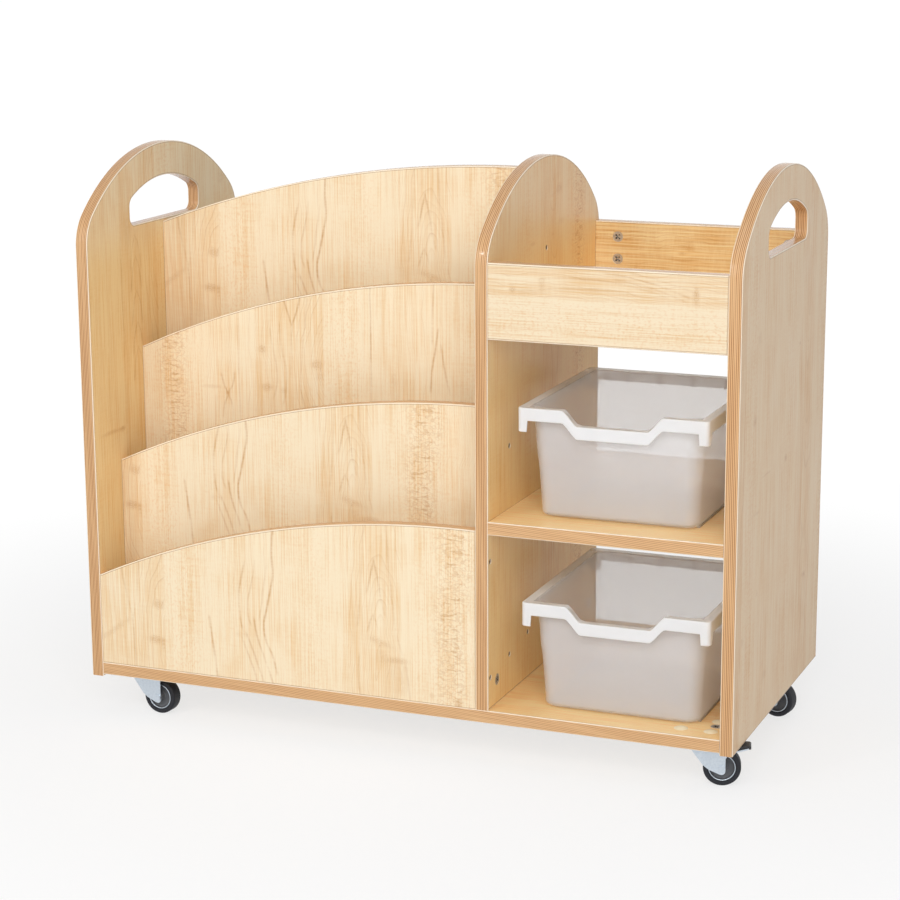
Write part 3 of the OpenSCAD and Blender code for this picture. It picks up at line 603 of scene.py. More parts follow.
        # painted bounce light and shade: each face's tint multiplies the print, less above the top
        # box
        shade_tint = graph.mix(face, near.shade_tint.value + (1.0,), far.shade_tint.value + (1.0,))
        left = min(near.shade_left_above, far.shade_left_above)
        wood = graph.mix(graph.spot[2].rise(self.fade.low, self.fade.high, 1.0, left), wood, shade_tint,
                         "MULTIPLY")
        seam = graph.add("ShaderNodeAttribute", {"attribute_name": "seam"}, None, "Fac")
        wood = graph.mix(seam * self.seam_share, wood, self.seam)
        on_edge = deep.size().below(board.thick / 2 - 0.03)
        lip = self._lip(graph, board, deep, first + second)
        graph.set(Base_Color=graph.mix(on_edge, wood, lip),
                  IOR=1.48, Specular_IOR_Level=0.28,
                  Roughness=0.38 + figure.fibre * 0.16 - on_edge * 0.2,
                  Normal=graph.bump(figure.fibre, 0.02))
        return graph.done()

    def _lip(self, graph: Coat, board: "Board", deep: Signal, length: Signal) -> Signal:
        """Colour of the lipping: thin dark stripes, and a pale line along each arris, partly the
        band's own pale rounding and partly a painted highlight.

        Args:
            graph: the material's graph.
            board: the board.
            deep: distance from the middle plane.
            length: a distance that grows along every edge.

        Returns:
            The colour.
        """
        lean, strong = (0.0, 1.0) if board.lay is Lay.ACROSS else (0.06, 0.55)
        spot = deep + length * lean
        wander = graph.noise(graph.vector(spot * 0.05, length * 0.01, 3.0)) - 0.5
        stripes = ((spot + wander * 1.2) * (2.0 * math.pi / self.stripe)).sine()
        uneven = graph.noise(graph.vector(spot * 0.3, length * 0.006, 5.0), 2.0)
        streak = graph.noise(graph.vector(spot * 1.6, length * 0.012, 8.0), 2.0) - 0.5
        dark = (stripes.rise(-0.2, 0.7) * uneven.rise(0.2, 0.6, 0.35, 1.0) * strong + streak * 0.5
                + (uneven - 0.5) * 0.3)
        lip = graph.mix(dark + 0.05, self.lip_light, self.lip_dark)
        half = board.thick / 2
        # pale arris line: the band's own pale rounding, with a painted highlight on it
        edge = deep.size().rise(half - board.round * 0.95, half - board.round * 0.5)
        return graph.mix(edge * 0.9, lip, self.pale_arris_highlight)


class Figure:
    """Pattern of the print on one board, as signals over its faces."""

    CURVE_LOW = -20.0
    CURVE_REACH = 700.0

    def __init__(self, graph: Coat, look: MaplePrint, run: Signal, across: Signal,
                 lean: float) -> None:
        """Works out what the parts of the pattern share.

        Args:
            graph: the material's graph.
            look: the print.
            run: distance along the grain, on the print.
            across: distance across it, before it is repeated.
            lean: angle in radians that a ring gains per millimetre along the grain.
        """
        self.graph, self.look, self.run, self.across, self.lean = graph, look, run, across, lean
        self.phase = ((across - look.start) / look.repeat).fraction()
        self.place = self.phase * look.repeat + look.start
        self.tone, self.flecky, self.liny = graph.ramp(
            self.phase, [(look.share(place), tuple(numbers)) for place, *numbers in look.tones])
        self.wave = self._noise(look.wave)
        self.ripple = self._noise(look.ripple)
        self.fibre = self._noise(look.fibre).rise(-0.2, 0.2) - 0.5
        self.cloud = self._noise(look.cloud)
        self.flame = self._noise(look.flame, self.wave * 3.0, self.ripple * 2.0)
        self.dashes = self._noise(look.dash, 0.0, self.ripple * 3.0)

    def _noise(self, weave: Weave, aside: Number = 0.0, ahead: Number = 0.0) -> Signal:
        """Noise of -0.5 to 0.5 over the print.

        Args:
            weave: the noise.
            aside: shift across, in its bumps.
            ahead: shift along, in its bumps.

        Returns:
            The noise.
        """
        spot = self.graph.vector(self.across.scaled(weave.across, aside),
                                 self.run.scaled(weave.along, ahead), weave.seed)
        return self.graph.noise(spot, weave.detail, weave.rough) - 0.5

    def tone_colour(self) -> Signal:
        """Colour of the print without its dark parts.

        Returns:
            The pale colour, turned to tan by the sum of the stave's tone and the noises, with
            flecks and tiger stripes where the stave has them.
        """
        look, graph = self.look, self.graph
        hair = self._noise(look.hair).rise(-0.2, 0.2) - 0.5
        shade = (self.tone + self._noise(look.band) * 0.8 + self.cloud * 1.1
                 + self.flame * (self.flecky * 0.8 + 0.35) + self.fibre * 0.8 + hair * 0.6)
        dots = self._noise(look.dot, self.ripple * 2.0).rise(0.0, 0.22)
        tiger = self.dashes.rise(-0.15, -0.35)
        plain = graph.mix(shade, look.pale, look.tan)
        return graph.mix((dots * 0.4 + tiger * 0.3) * self.flecky, plain, look.fleck)

    def dark(self, here: Stretch) -> Signal:
        """Share of the dark colour.

        Args:
            here: stretch of the print that the board shows.

        Returns:
            The sum of the quilt and its worm lines, the rings, and the marks and veins in reach.
        """
        look = self.look
        off = (self.place - look.quilt_place + self.wave * 34.0).size()
        worms = self._noise(look.worm, self.ripple).size().rise(0.0, 0.07, 1.0, 0.0)
        total = (self.dashes.rise(0.04, 0.18) * off.rise(8.0, 18.0, 1.0, 0.0) * 0.4
                 + worms * off.rise(12.0, 34.0, 1.0, 0.0) * 0.3 + self._rings() * 0.75)
        total += sum(self._mark(mark) for mark in look.marks if here.low <= mark.along <= here.high)
        drawn = sum(self._vein(vein) for vein in look.veins
                    if vein.path[0][0] <= here.high and vein.path[-1][0] >= here.low)
        return total + drawn * (1.0 + self.cloud * 3.0 + self.flame * 1.2 + self.fibre * 0.8)

    def _rings(self) -> Signal:
        """Strength of the ring lines.

        The distance from the middle of a stave's rings, squared, plus their cut through the board,
        squared, has a root, and rings lie at whole numbers of it. The cut is a sine of the distance
        along the grain from the rings' height. Each ring has a strength of its own.

        Returns:
            The strength.
        """
        stops = [(self.look.share(place), (middle / 1000, height / 1000, lean))
                 for place, middle, height, lean in self.look.rings]
        middle, height, lean = self.graph.ramp(self.phase, stops, True)
        aside = self.place - middle * 1000.0 + self.wave * 34.0 + self.ripple * 9.0
        cut = ((self.run - height * 1000.0) * lean * self.lean).sine() * 50.0 + self.wave * 22.0
        rings = (aside * aside + cut * cut).root() / self.look.ring_gap
        part = rings.fraction()
        strength = self.graph.dice(rings.whole() + 3.0).rise(0.15, 1.0)
        return (part ** 5.0) * (1.0 - part.rise(0.94, 1.0)) * strength * self.liny

    def _mark(self, mark: Mark) -> Signal:
        """Strength of one mark.

        Args:
            mark: the mark.

        Returns:
            Its strength: full inside an ellipse with an uneven rim and swirls, and cut off where
            its stave ends.
        """
        stave = self.look.stave(mark.across)
        off = self.place.scaled(1 / mark.wide, -mark.across / mark.wide)
        along = self.run.scaled(1 / mark.high, -mark.along / mark.high)
        if mark.lean:
            along = off.scaled(-mark.lean * mark.wide / mark.high, along)
        reach = (off * off + along * along).root() + (self.ripple + self.fibre * 0.4) * 1.3
        swirls = (reach * 15.0).sine().scaled(0.35, 0.7)
        return (reach.rise(0.1, 1.2, mark.depth * 0.6, 0.0) * swirls
                * self.place.above(stave.low) * self.place.below(stave.high))

    def _vein(self, vein: Vein) -> Signal:
        """Strength of one vein.

        Args:
            vein: the vein.

        Returns:
            Its strength: a narrow bell across its curve, which fades out at the ends.
        """
        low, high = vein.path[0][0] - 4.0, vein.path[-1][0] + 4.0
        rise = self.run.scaled(1 / (high - low), -low / (high - low))
        curve = self.graph.add("ShaderNodeFloatCurve", {"curve": [
            ((along - low) / (high - low), (across - self.CURVE_LOW) / self.CURVE_REACH)
            for along, across in vein.path]}, {"Value": rise})
        wobble = self.place - self.CURVE_LOW + self.ripple * 3.0
        off = curve.scaled(-self.CURVE_REACH, wobble).size()
        fade = 10.0 / (high - low)
        ends = (rise - 0.5).size().rise(0.5 - fade, 0.5, 1.0, 0.0)
        return off.rise(0.0, vein.wide * 2.7, vein.depth * 0.5, 0.0) * ends


# ---- Plastics, metals and beech ----


@dataclass(frozen=True)
class FrostedPlastic:
    """Milky translucent plastic of the trays, whiter where it is thick, with faint flow marks."""

    body: Rgba = paint(253, 252, 254)
    cloud: Rgba = paint(250, 247, 251)
    rim: Rgba = paint(253, 253, 254)
    body_cover: float = 0.35
    rim_cover: float = 0.85
    rear_share: float = 0.25
    rim_reach: float = 60.0

    def material(self, tray: "Tray") -> Any:
        """Makes the finish of one tray.

        Args:
            tray: the tray, whose rim is told from its walls by height and place, and whose rear rim
                lets more light through.

        Returns:
            The material.
        """
        graph = Coat("frosted_" + tray.name)
        x, y, z = graph.spot
        outside = ((x - tray.x).size() - (tray.width / 2 - tray.rim)).highest(
            (y - tray.y).size() - (tray.depth / 2 - tray.rim))
        on_rim = outside.rise(-1.5, 0.5) * z.above(tray.z + tray.height - self.rim_reach)
        thin = (y - tray.y).rise(tray.depth / 2 - 24, tray.depth / 2 - 14, 1.0, self.rear_share)
        flow = graph.speckle((0.02, 0.02, 0.05), 3.0)
        grit = graph.speckle((2.2, 2.2, 2.2))
        graph.set(Base_Color=graph.mix(on_rim, graph.mix(flow, self.body, self.cloud), self.rim),
                  Roughness=0.34 + grit * 0.16, IOR=1.4, Subsurface_Weight=0.5,
                  Subsurface_Radius=(1.0, 0.96, 0.94), Subsurface_Scale=0.007,
                  Alpha=self.body_cover + on_rim * thin * (self.rim_cover - self.body_cover),
                  Normal=graph.bump(grit, 0.03, 0.4))
        return graph.done()


@dataclass(frozen=True)
class Metal:
    """Bright metal with a mottled plating and fine scratches, with painted shade in narrow crevices.
    """

    name: str
    light: Rgba
    dark: Rgba
    rough: float = 0.3
    # colour of the painted shade in crevices
    crevice_shade: Rgba = (0.03, 0.028, 0.026, 1.0)
    reach: float = 2.5

    def material(self) -> Any:
        """Makes the metal, with painted shade in crevices narrower than its reach in millimetres.

        Returns:
            The material.
        """
        graph = Coat(self.name)
        mottle = graph.speckle((0.35, 0.35, 0.35), 3.0, 0.6)
        scratch = graph.speckle((0.5, 0.5, 6.0))
        open_sky = graph.add("ShaderNodeAmbientOcclusion", {"only_local": True, "samples": 8},
                             {"Distance": self.reach * MM}, "AO")
        plate = graph.mix(mottle, self.dark, self.light)
        # painted shade: ambient occlusion darkens the plate to near black in crevices
        graph.set(Base_Color=graph.mix(open_sky.rise(0.35, 0.9, 0.8, 0.0), plate, self.crevice_shade),
                  Metallic=1.0, Roughness=self.rough + mottle * 0.18 + scratch * 0.06,
                  Normal=graph.bump(scratch, 0.02))
        return graph.done()


@dataclass(frozen=True)
class Moulded:
    """Solid moulded plastic or rubber: an even colour with soft clouds and a fine grain."""

    name: str
    light: Rgba
    dark: Rgba
    rough: float = 0.45

    def material(self) -> Any:
        """Makes the plastic.

        Returns:
            The material.
        """
        graph = Coat(self.name)
        cloud = graph.speckle((0.12, 0.12, 0.12), 3.0)
        grain = graph.speckle((3.0, 3.0, 3.0))
        graph.set(Base_Color=graph.mix(cloud, self.dark, self.light),
                  Roughness=self.rough + grain * 0.15, Normal=graph.bump(grain, 0.04))
        return graph.done()


@dataclass(frozen=True)
class BeechRod:
    """Bare beech of the dowels: a warm tone with short dark flecks."""

    light: Rgba = paint(226, 190, 146)
    dark: Rgba = paint(196, 152, 106)

    def material(self) -> Any:
        """Makes the beech.

        Returns:
            The material.
        """
        graph = Coat("beech_rod")
        fleck = graph.speckle((0.7, 0.7, 0.7), 3.0, 0.7)
        graph.set(Base_Color=graph.mix(fleck, self.dark, self.light), Roughness=0.6,
                  Normal=graph.bump(fleck, 0.05, 0.6))
        return graph.done()


# ---- Surfaces ----


def arc(centre: tuple[float, float], radius: float, start: float, end: float,
        count: int) -> np.ndarray:
    """Points on an arc: the centre plus the radius times the cosine and sine of equal steps.

    Args:
        centre: the arc's centre.
        radius: its radius.
        start: first angle in radians.
        end: last angle in radians.
        count: number of points.

    Returns:
        The points, one row each.
    """
    angle = np.linspace(start, end, count)
    return np.stack([centre[0] + radius * np.cos(angle), centre[1] + radius * np.sin(angle)], 1)


def arched(width: float, height: float, top: float, side: float, foot: float = 0.0,
           base: float = 0.0) -> np.ndarray:
    """Outline with upright sides, an arch and rounded shoulders, turning left, about the middle.

    The arch is a circle of radius top under the highest point. A shoulder's circle touches the
    side and the arch, so its centre is side in from the edge, and top less side away from the
    arch's centre.

    Args:
        width: width of the outline.
        height: height of the outline.
        top: radius of the arch.
        side: radius of the shoulders.
        foot: radius of the lower corners, or 0.
        base: second coordinate of the lower edge.

    Returns:
        The points, one row each.
    """
    reach = width / 2 - side
    arch = height - top
    spring = arch + math.sqrt((top - side) ** 2 - reach ** 2)
    turn = math.atan2(spring - arch, reach)
    if foot > 0:
        low = arc((width / 2 - foot, foot), foot, -math.pi / 2, 0, 9)
    else:
        low = np.array([[width / 2, 0.0]])
    shoulder = arc((reach, spring), side, 0, turn, 22)
    right = np.concatenate([low, shoulder])
    crown = arc((0, arch), top, turn, math.pi - turn, 90)[1:-1]
    return np.concatenate([right, crown, right[::-1] * [-1, 1]]) + [0.0, base]


def inset(loop: np.ndarray, distance: np.ndarray) -> np.ndarray:
    """Loop moved inwards: each point goes along the sum of its edges' inward normals, over one plus
    the normals' product, so that both edges keep the distance.

    Args:
        loop: the loop, turning left.
        distance: how far each point moves.

    Returns:
        The moved loop.
    """
    ahead = np.roll(loop, -1, 0) - loop
    ahead /= np.linalg.norm(ahead, axis=1, keepdims=True)
    after = np.stack([-ahead[:, 1], ahead[:, 0]], 1)
    before = np.roll(after, 1, 0)
    share = 1 + (before * after).sum(1, keepdims=True)
    return loop + (before + after) / share * np.reshape(distance, (-1, 1))


def grid_faces(rows: int, columns: int, start: int = 0, close_rows: bool = False) -> np.ndarray:
    """Quads between neighbours of a grid whose columns close on themselves.

    Args:
        rows: number of rows.
        columns: number of columns.
        start: number of the grid's first point.
        close_rows: whether the rows close on themselves too.

    Returns:
        Four point numbers for each quad.
    """
    row = np.arange(rows if close_rows else rows - 1)[:, None]
    column = np.arange(columns)[None, :]
    below, beside = (row + 1) % rows * columns, (column + 1) % columns
    here = row * columns
    quads = np.stack([here + column, below + column, below + beside, here + beside], -1)
    return quads.reshape(-1, 4) + start


def volume(points: np.ndarray, faces: list) -> float:
    """Volume inside a closed mesh: a sixth of the triple products of its fans of triangles.

    Args:
        points: the points.
        faces: point numbers of each face.

    Returns:
        The volume, below 0 where the faces point inwards.
    """
    total = 0.0
    for sides in {len(face) for face in faces}:
        rows = np.array([face for face in faces if len(face) == sides])
        for corner in range(1, sides - 1):
            a, b, c = points[rows[:, 0]], points[rows[:, corner]], points[rows[:, corner + 1]]
            total += float(np.einsum("ij,ij->", a, np.cross(b, c))) / 6
    return total


def add_object(name: str, mesh: Any, sharp: Optional[float] = None) -> Any:
    """Puts a mesh into the scene.

    Args:
        name: the object's name.
        mesh: the mesh.
        sharp: angle in radians above which an edge is sharp, where the mesh is shaded smooth.

    Returns:
        The object.
    """
    if sharp:
        mesh.polygons.foreach_set("use_smooth", np.ones(len(mesh.polygons), bool))
        mesh.set_sharp_from_angle(angle=sharp)
    piece = bpy.data.objects.new(name, mesh)
    bpy.context.scene.collection.objects.link(piece)
    return piece


@dataclass
class Shell:
    """Closed surface that is put together from grids and caps, in millimetres."""

    points: list[np.ndarray] = field(default_factory=list)
    faces: list = field(default_factory=list)
    seams: list[int] = field(default_factory=list)

    @property
    def count(self) -> int:
        """Number of points so far."""
        return sum(len(block) for block in self.points)

    def grid(self, spots: np.ndarray, close_rows: bool = False) -> None:
        """Adds a grid of points, rows by columns by 3, whose columns close on themselves.

        Args:
            spots: the points.
            close_rows: whether the rows close on themselves too.
        """
        rows, columns = spots.shape[:2]
        self.faces += grid_faces(rows, columns, self.count, close_rows).tolist()
        self.points.append(spots.reshape(-1, 3))

    def tube(self, spots: np.ndarray) -> None:
        """Adds a grid like grid(), with a flat face over its first row and one over its last.

        Args:
            spots: the points.
        """
        start = self.count
        rows, columns = spots.shape[:2]
        self.grid(spots)
        self.faces.append((start + np.arange(columns)).tolist())
        self.faces.append((start + (rows - 1) * columns + np.arange(columns)[::-1]).tolist())

    def join(self, other: "Shell") -> None:
        """Adds another shell."""
        self.faces += (np.array(other.faces) + self.count).tolist()
        self.points += other.points

    def piece(self, name: str, material: Any, sharp: float = SHARP) -> Any:
        """Makes the object, turned right side out and shaded smooth except at sharp edges.

        Args:
            name: the object's name.
            material: its material.
            sharp: angle in radians above which an edge is sharp.

        Returns:
            The object, in metres.
        """
        points = np.concatenate(self.points)
        if volume(points, self.faces) < 0:
            self.faces = [face[::-1] for face in self.faces]
        mesh = bpy.data.meshes.new(name)
        mesh.from_pydata((points * MM).tolist(), [], self.faces)
        mesh.materials.append(material)
        if self.seams:
            share = np.zeros(len(self.faces))
            share[self.seams] = 1.0
            mesh.attributes.new("seam", "FLOAT", "FACE").data.foreach_set("value", share)
        piece = add_object(name, mesh, sharp)
        mesh.update()
        return piece


def settle(piece: Any, body: str, slot: str, *nodes: str) -> None:
    """Lets a piece ride on a body and stand for nodes; reports it.

    Args:
        piece: the piece.
        body: the body.
        slot: not used.
        nodes: the nodes that it replaces.
    """
    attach(piece, body)
    if nodes:
        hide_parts(*nodes)
    log.info("%s: %d faces, rides on %s", piece.name, len(piece.data.polygons), body)


# ---- Boards ----


ARRIS = 1.6  # radius of a free edge
CRISP = 0.25  # radius of an edge that butts against a board


@dataclass
class Bore:
    """Round blind hole in a board's face, with a small chamfer at its mouth."""

    first: float
    second: float
    radius: float
    depth: float
    front: bool = True
    chamfer: float = 0.35
    sides: int = 32


@dataclass
class Board:
    """Board with rounded arrises, through openings and blind bores, in millimetres.

    Its outline turns left in the plane of the first and second coordinate. The section of its
    edge is a quarter circle on each side of a flat, carried along the outline, with a narrow flat
    rim inside.
    """

    name: str
    lay: Lay
    low: float
    high: float
    outline: np.ndarray
    prints: tuple[Print, Print]
    grain: Grain = Grain.SECOND
    soft: Optional[np.ndarray] = None
    slots: list[np.ndarray] = field(default_factory=list)
    bores: list[Bore] = field(default_factory=list)
    round: float = ARRIS
    seam: float = 0.8

    @property
    def middle(self) -> float:
        """Place of the middle plane."""
        return (self.low + self.high) / 2

    @property
    def thick(self) -> float:
        """Thickness."""
        return self.high - self.low

    @property
    def seen(self) -> Stretch:
        """Print on the face that the main picture shows, the less shifted one.

        Returns:
            Its stretch along the grain.
        """
        shift = max(face.along for face in self.prints)
        ends = self.outline[:, self.grain.value]
        return Stretch(float(ends.min()) + shift, float(ends.max()) + shift)

    def _spots(self, flat: np.ndarray, height: np.ndarray) -> np.ndarray:
        """Points of the frame.

        Args:
            flat: outline coordinates.
            height: height over the middle plane.

        Returns:
            The points, each coordinate on the axis that the board's lie gives it.
        """
        spots = np.zeros(flat.shape[:-1] + (3,))
        axes = self.lay.value
        spots[..., axes[0]] = flat[..., 0]
        spots[..., axes[1]] = flat[..., 1]
        spots[..., axes[2]] = height + self.middle
        return spots

    def _edge(self, shell: Shell, loop: np.ndarray, soft: np.ndarray, out: bool) -> tuple:
        """Adds the rounded edge along one loop, and marks its flat rims as seams.

        Args:
            shell: the mesh so far.
            loop: the loop, turning left.
            soft: radius of the arris at each point.
            out: whether the board lies inside the loop.

        Returns:
            The loop and first point number of the front rim, then of the back rim.
        """
        turn = np.linspace(0, math.pi / 2, 6)[:, None]
        back = np.concatenate([soft[None, :] + self.seam, soft * (1 - np.sin(turn))])
        down = np.concatenate([soft[None, :] * 0, soft * (1 - np.cos(turn))])
        distance = np.concatenate([back, back[::-1]])
        height = np.concatenate([self.thick / 2 - down, (down - self.thick / 2)[::-1]])
        flat = np.stack([inset(loop, row if out else -row) for row in distance])
        start = shell.count
        rows, columns = height.shape
        faces = grid_faces(rows, columns, start)
        first = len(shell.faces)
        for strip in (0, rows - 2):
            shell.seams += range(first + strip * columns, first + (strip + 1) * columns)
        shell.faces += (faces if out else faces[:, ::-1]).tolist()
        shell.points.append(self._spots(flat, height).reshape(-1, 3))
        return (flat[0], start), (flat[-1], start + (rows - 1) * columns)

    def _bore(self, shell: Shell, bore: Bore) -> tuple:
        """Adds a bore's wall and floor: a circle at its mouth, under its chamfer and on its floor.

        Args:
            shell: the mesh so far.
            bore: the bore.

        Returns:
            Its mouth's loop and first point number.
        """
        side = 1.0 if bore.front else -1.0
        radii = np.array([bore.chamfer, 0.0, 0.0]) + bore.radius
        drops = np.array([0.0, bore.chamfer, bore.depth])
        ring = arc((0, 0), 1.0, 0, 2 * math.pi, bore.sides + 1)[:-1]
        flat = ring[None] * radii[:, None, None] + [bore.first, bore.second]
        height = np.repeat(side * (self.thick / 2 - drops), bore.sides).reshape(3, bore.sides)
        start = shell.count
        faces = grid_faces(3, bore.sides, start)
        shell.faces += (faces[:, ::-1] if bore.front else faces).tolist()
        shell.points.append(self._spots(flat, height).reshape(-1, 3))
        last = start + 2 * bore.sides + np.arange(bore.sides)
        shell.faces.append((last if bore.front else last[::-1]).tolist())
        return flat[0], start

    def _cap(self, shell: Shell, rims: list[tuple], front: bool) -> None:
        """Adds the flat face between the outer rim and the rims of the openings and bores.

        Args:
            shell: the mesh so far.
            rims: loop and first point number of each rim, the outer one first.
            front: whether it is the face towards the higher end of the thickness.
        """
        loops = [list(map(Vector, np.pad(loop, ((0, 0), (0, 1))).tolist())) for loop, _ in rims]
        numbers = np.concatenate([start + np.arange(len(loop)) for loop, start in rims])
        flat = np.concatenate([loop for loop, _ in rims])
        rows = np.array(tessellate_polygon(loops))
        one = flat[rows[:, 1]] - flat[rows[:, 0]]
        two = flat[rows[:, 2]] - flat[rows[:, 0]]
        wrong = (one[:, 0] * two[:, 1] - one[:, 1] * two[:, 0] > 0) != front
        rows[wrong] = rows[wrong][:, ::-1]
        shell.faces += numbers[rows].tolist()

    def build(self, finish: MaplePrint) -> Any:
        """Makes the board and dresses it.

        Args:
            finish: the print.

        Returns:
            The object.
        """
        shell = Shell()
        soft = np.full(len(self.outline), self.round) if self.soft is None else self.soft
        front, back = [], []
        for loop, radius, out in [(self.outline, soft, True)] + [
                (slot, np.full(len(slot), self.round), False) for slot in self.slots]:
            fore, rear = self._edge(shell, loop, radius, out)
            front.append(fore)
            back.append(rear)
        for bore in self.bores:
            (front if bore.front else back).append(self._bore(shell, bore))
        self._cap(shell, front, True)
        self._cap(shell, back, False)
        return shell.piece(self.name, finish.material(self))


@dataclass
class Carcass:
    """All boards of the trolley, in millimetres, with the holes that show."""

    left: float = -474.801
    right: float = 465.199
    front: float = -225.0
    rear: float = 225.0
    board: float = 18.0
    divider: float = 111.199
    base: float = 62.0
    panel_low: float = 59.0
    panel_high: float = 796.0
    arch: float = 304.0
    shoulder: float = 60.0
    shelf: float = 322.0
    box: float = 582.0
    rail: float = 100.0
    rail_cam_drops: tuple = (22.0, 54.0)
    foot_cams: tuple = (-191.0, 0.0, 191.0)
    base_cams: tuple = (-175.0, -36.0, 36.0, 175.0)
    shelf_cams: tuple = (-160.0, 160.0)
    box_cams: tuple = (-120.0, 120.0)
    # width, height, radii of the arch, the shoulders and the lower corners, and height of its foot
    hand_slot: tuple = (206.0, 61.0, 215.0, 15.0, 12.0, 687.0)
    butt: float = 1.5
    tier_names: tuple = ("front_tier_low", "front_tier_middle", "front_tier_high", "centre_tier",
                         "rear_tier_high", "rear_tier_middle", "rear_tier_low")
    tier_first: float = -216.0
    tier_pitch: float = 72.0
    tier_heights: tuple = (247.0, 398.0, 549.0, 700.0, 549.0, 398.0, 247.0)
    tier_falls: tuple = (118.0, 118.0, 118.0, 98.0, 118.0, 118.0, 118.0)
    tier_crest: float = 34.0
    tier_shifts: tuple = ((0.0, 0.0), (71.0, -171.6), (486.0, 400.0), (11.0, -465.6))
    cam: float = 7.5
    cam_depth: float = 13.5
    cam_in: float = 34.0
    base_cam_in: float = 18.0
    screw: float = 3.6
    screw_depth: float = 16.0
    screw_below: float = 40.0
    screw_middle: float = 0.48
    screw_rise: tuple = (44.0, 55.0, 66.0, 77.0)
    screw_drop: tuple = (43.0, 53.0, 71.0, 109.0)
    castor_x: tuple = (-417.301, 407.699)
    castor_y: tuple = (-177.0, 127.0)
    bolt_reach: float = 20.0
    sleeve: float = 8.2
    sleeve_depth: float = 1.5

    @property
    def left_in(self) -> float:
        """Inner face of the left end panel."""
        return self.left + self.board

    @property
    def right_in(self) -> float:
        """Inner face of the right end panel."""
        return self.right - self.board

    @property
    def bay(self) -> tuple[float, float]:
        """Range of the right bay, between the divider and the right end panel."""
        return self.divider + self.board, self.right_in

    @property
    def bay_cams(self) -> tuple[float, float]:
        """Places of the cams near both ends of the right bay's boards."""
        return self.bay[0] + self.cam_in, self.bay[1] - self.cam_in

    @property
    def base_top(self) -> float:
        """Top of the base board."""
        return self.base + self.board

    def _screw_bores(self, left: bool) -> list[Bore]:
        """Bores of the tier screws.

        Args:
            left: whether they lie in the left end panel, else in the divider.

        Returns:
            Two bores for each tier, and a third one for the middle tier.
        """
        bores = []
        for tier, (tall, fall) in enumerate(zip(self.tier_heights, self.tier_falls)):
            rank = 3 - abs(tier - 3)
            drop = fall + self.screw_below if left else self.screw_drop[rank]
            rises = [self.screw_rise[rank], tall - drop]
            if rank == 3:
                rises.append(tall * self.screw_middle)
            first = self.tier_first + tier * self.tier_pitch
            bores += [Bore(first, self.base_top + rise, self.screw, self.screw_depth, not left)
                      for rise in rises]
        return bores

    def _cams(self, firsts: tuple, seconds: tuple, front: bool) -> list[Bore]:
        """Bores of cam fittings at every pair of the given places.

        Args:
            firsts: places on the first coordinate.
            seconds: places on the second coordinate.
            front: whether they lie in the face towards the higher end of the thickness.

        Returns:
            The bores.
        """
        return [Bore(first, second, self.cam, self.cam_depth, front)
                for first in firsts for second in seconds]

    def _plank(self, name: str, lay: Lay, low: float, first: tuple, second: tuple,
               prints: tuple[Print, Print], bores: list[Bore], radius: float = ARRIS) -> Board:
        """Rectangular board whose grain runs along the first coordinate between two butted ends.

        Args:
            name: the object's name.
            lay: how it lies.
            low: lower end of its thickness.
            first: range of the first coordinate.
            second: range of the second coordinate.
            prints: how the print lies on both faces.
            bores: its bores.
            radius: radius of a free arris.

        Returns:
            The board: its ends stay crisp, because they butt against a panel.
        """
        across = np.array([first[0], first[0] + self.butt, first[1] - self.butt, first[1]])
        loop = np.concatenate([np.stack([across, np.full(4, second[0])], 1),
                               np.stack([across[::-1], np.full(4, second[1])], 1)])
        soft = np.array([CRISP, radius, radius, CRISP] * 2)
        return Board(name, lay, low, low + self.board, loop, prints, Grain.FIRST, soft, bores=bores)

    def _panels(self) -> dict[str, Board]:
        """Upright panels of the trolley's whole depth.

        Returns:
            Both end panels and the divider, by node.
        """
        deep = self.rear - self.front
        base = self.base_top
        outer = arched(deep, self.panel_high - self.panel_low, self.arch, self.shoulder,
                       base=self.panel_low)
        inner = arched(deep, self.panel_high - base, self.arch, self.shoulder, base=base)
        hand_slot = arched(*self.hand_slot)
        foot = self._cams(self.foot_cams, (base + self.cam_in,), True)
        # painted bounce shade on the faces round the bays, painted shade on the right panel's outer
        # face
        return {
            "left_end_panel": Board(
                "left_end_board", Lay.ACROSS, self.left, self.left_in, outer,
                (Print(70.0), Print(132.0, 1400.0 - base, shade_tint=ShadeAndToneTint.WARM_SHADE, shade_left_above=0.3)),
                slots=[hand_slot], bores=self._screw_bores(True)),
            "right_end_panel": Board(
                "right_end_board", Lay.ACROSS, self.right_in, self.right, outer,
                (Print(330.0, shade_tint=ShadeAndToneTint.WARM_SHADE), Print(300.0, 5000.0 - base, shade_tint=ShadeAndToneTint.SIDE_SHADE)),
                slots=[hand_slot]),
            "divider_panel": Board(
                "divider_board", Lay.ACROSS, self.divider, self.bay[0], inner,
                (Print(205.0, shade_tint=ShadeAndToneTint.WARM_SHADE),
                 Print(400.0, 2400.0 - base, shade_tint=ShadeAndToneTint.DEEP_SHADE, shade_left_above=0.3)),
                bores=self._screw_bores(False) + foot)}

    def _decks(self) -> dict[str, Board]:
        """Level boards, with cams underneath or on top.

        Returns:
            Base board, shelf board and floor of the top box, by node.
        """
        depth = (self.front, self.rear)
        nuts = [Bore(x + i, y + j, self.sleeve, self.sleeve_depth)
                for x in self.castor_x for y in self.castor_y
                for i in (-self.bolt_reach, self.bolt_reach)
                for j in (-self.bolt_reach, self.bolt_reach)]
        base_ends = (self.left_in + self.base_cam_in, self.right_in - self.base_cam_in)
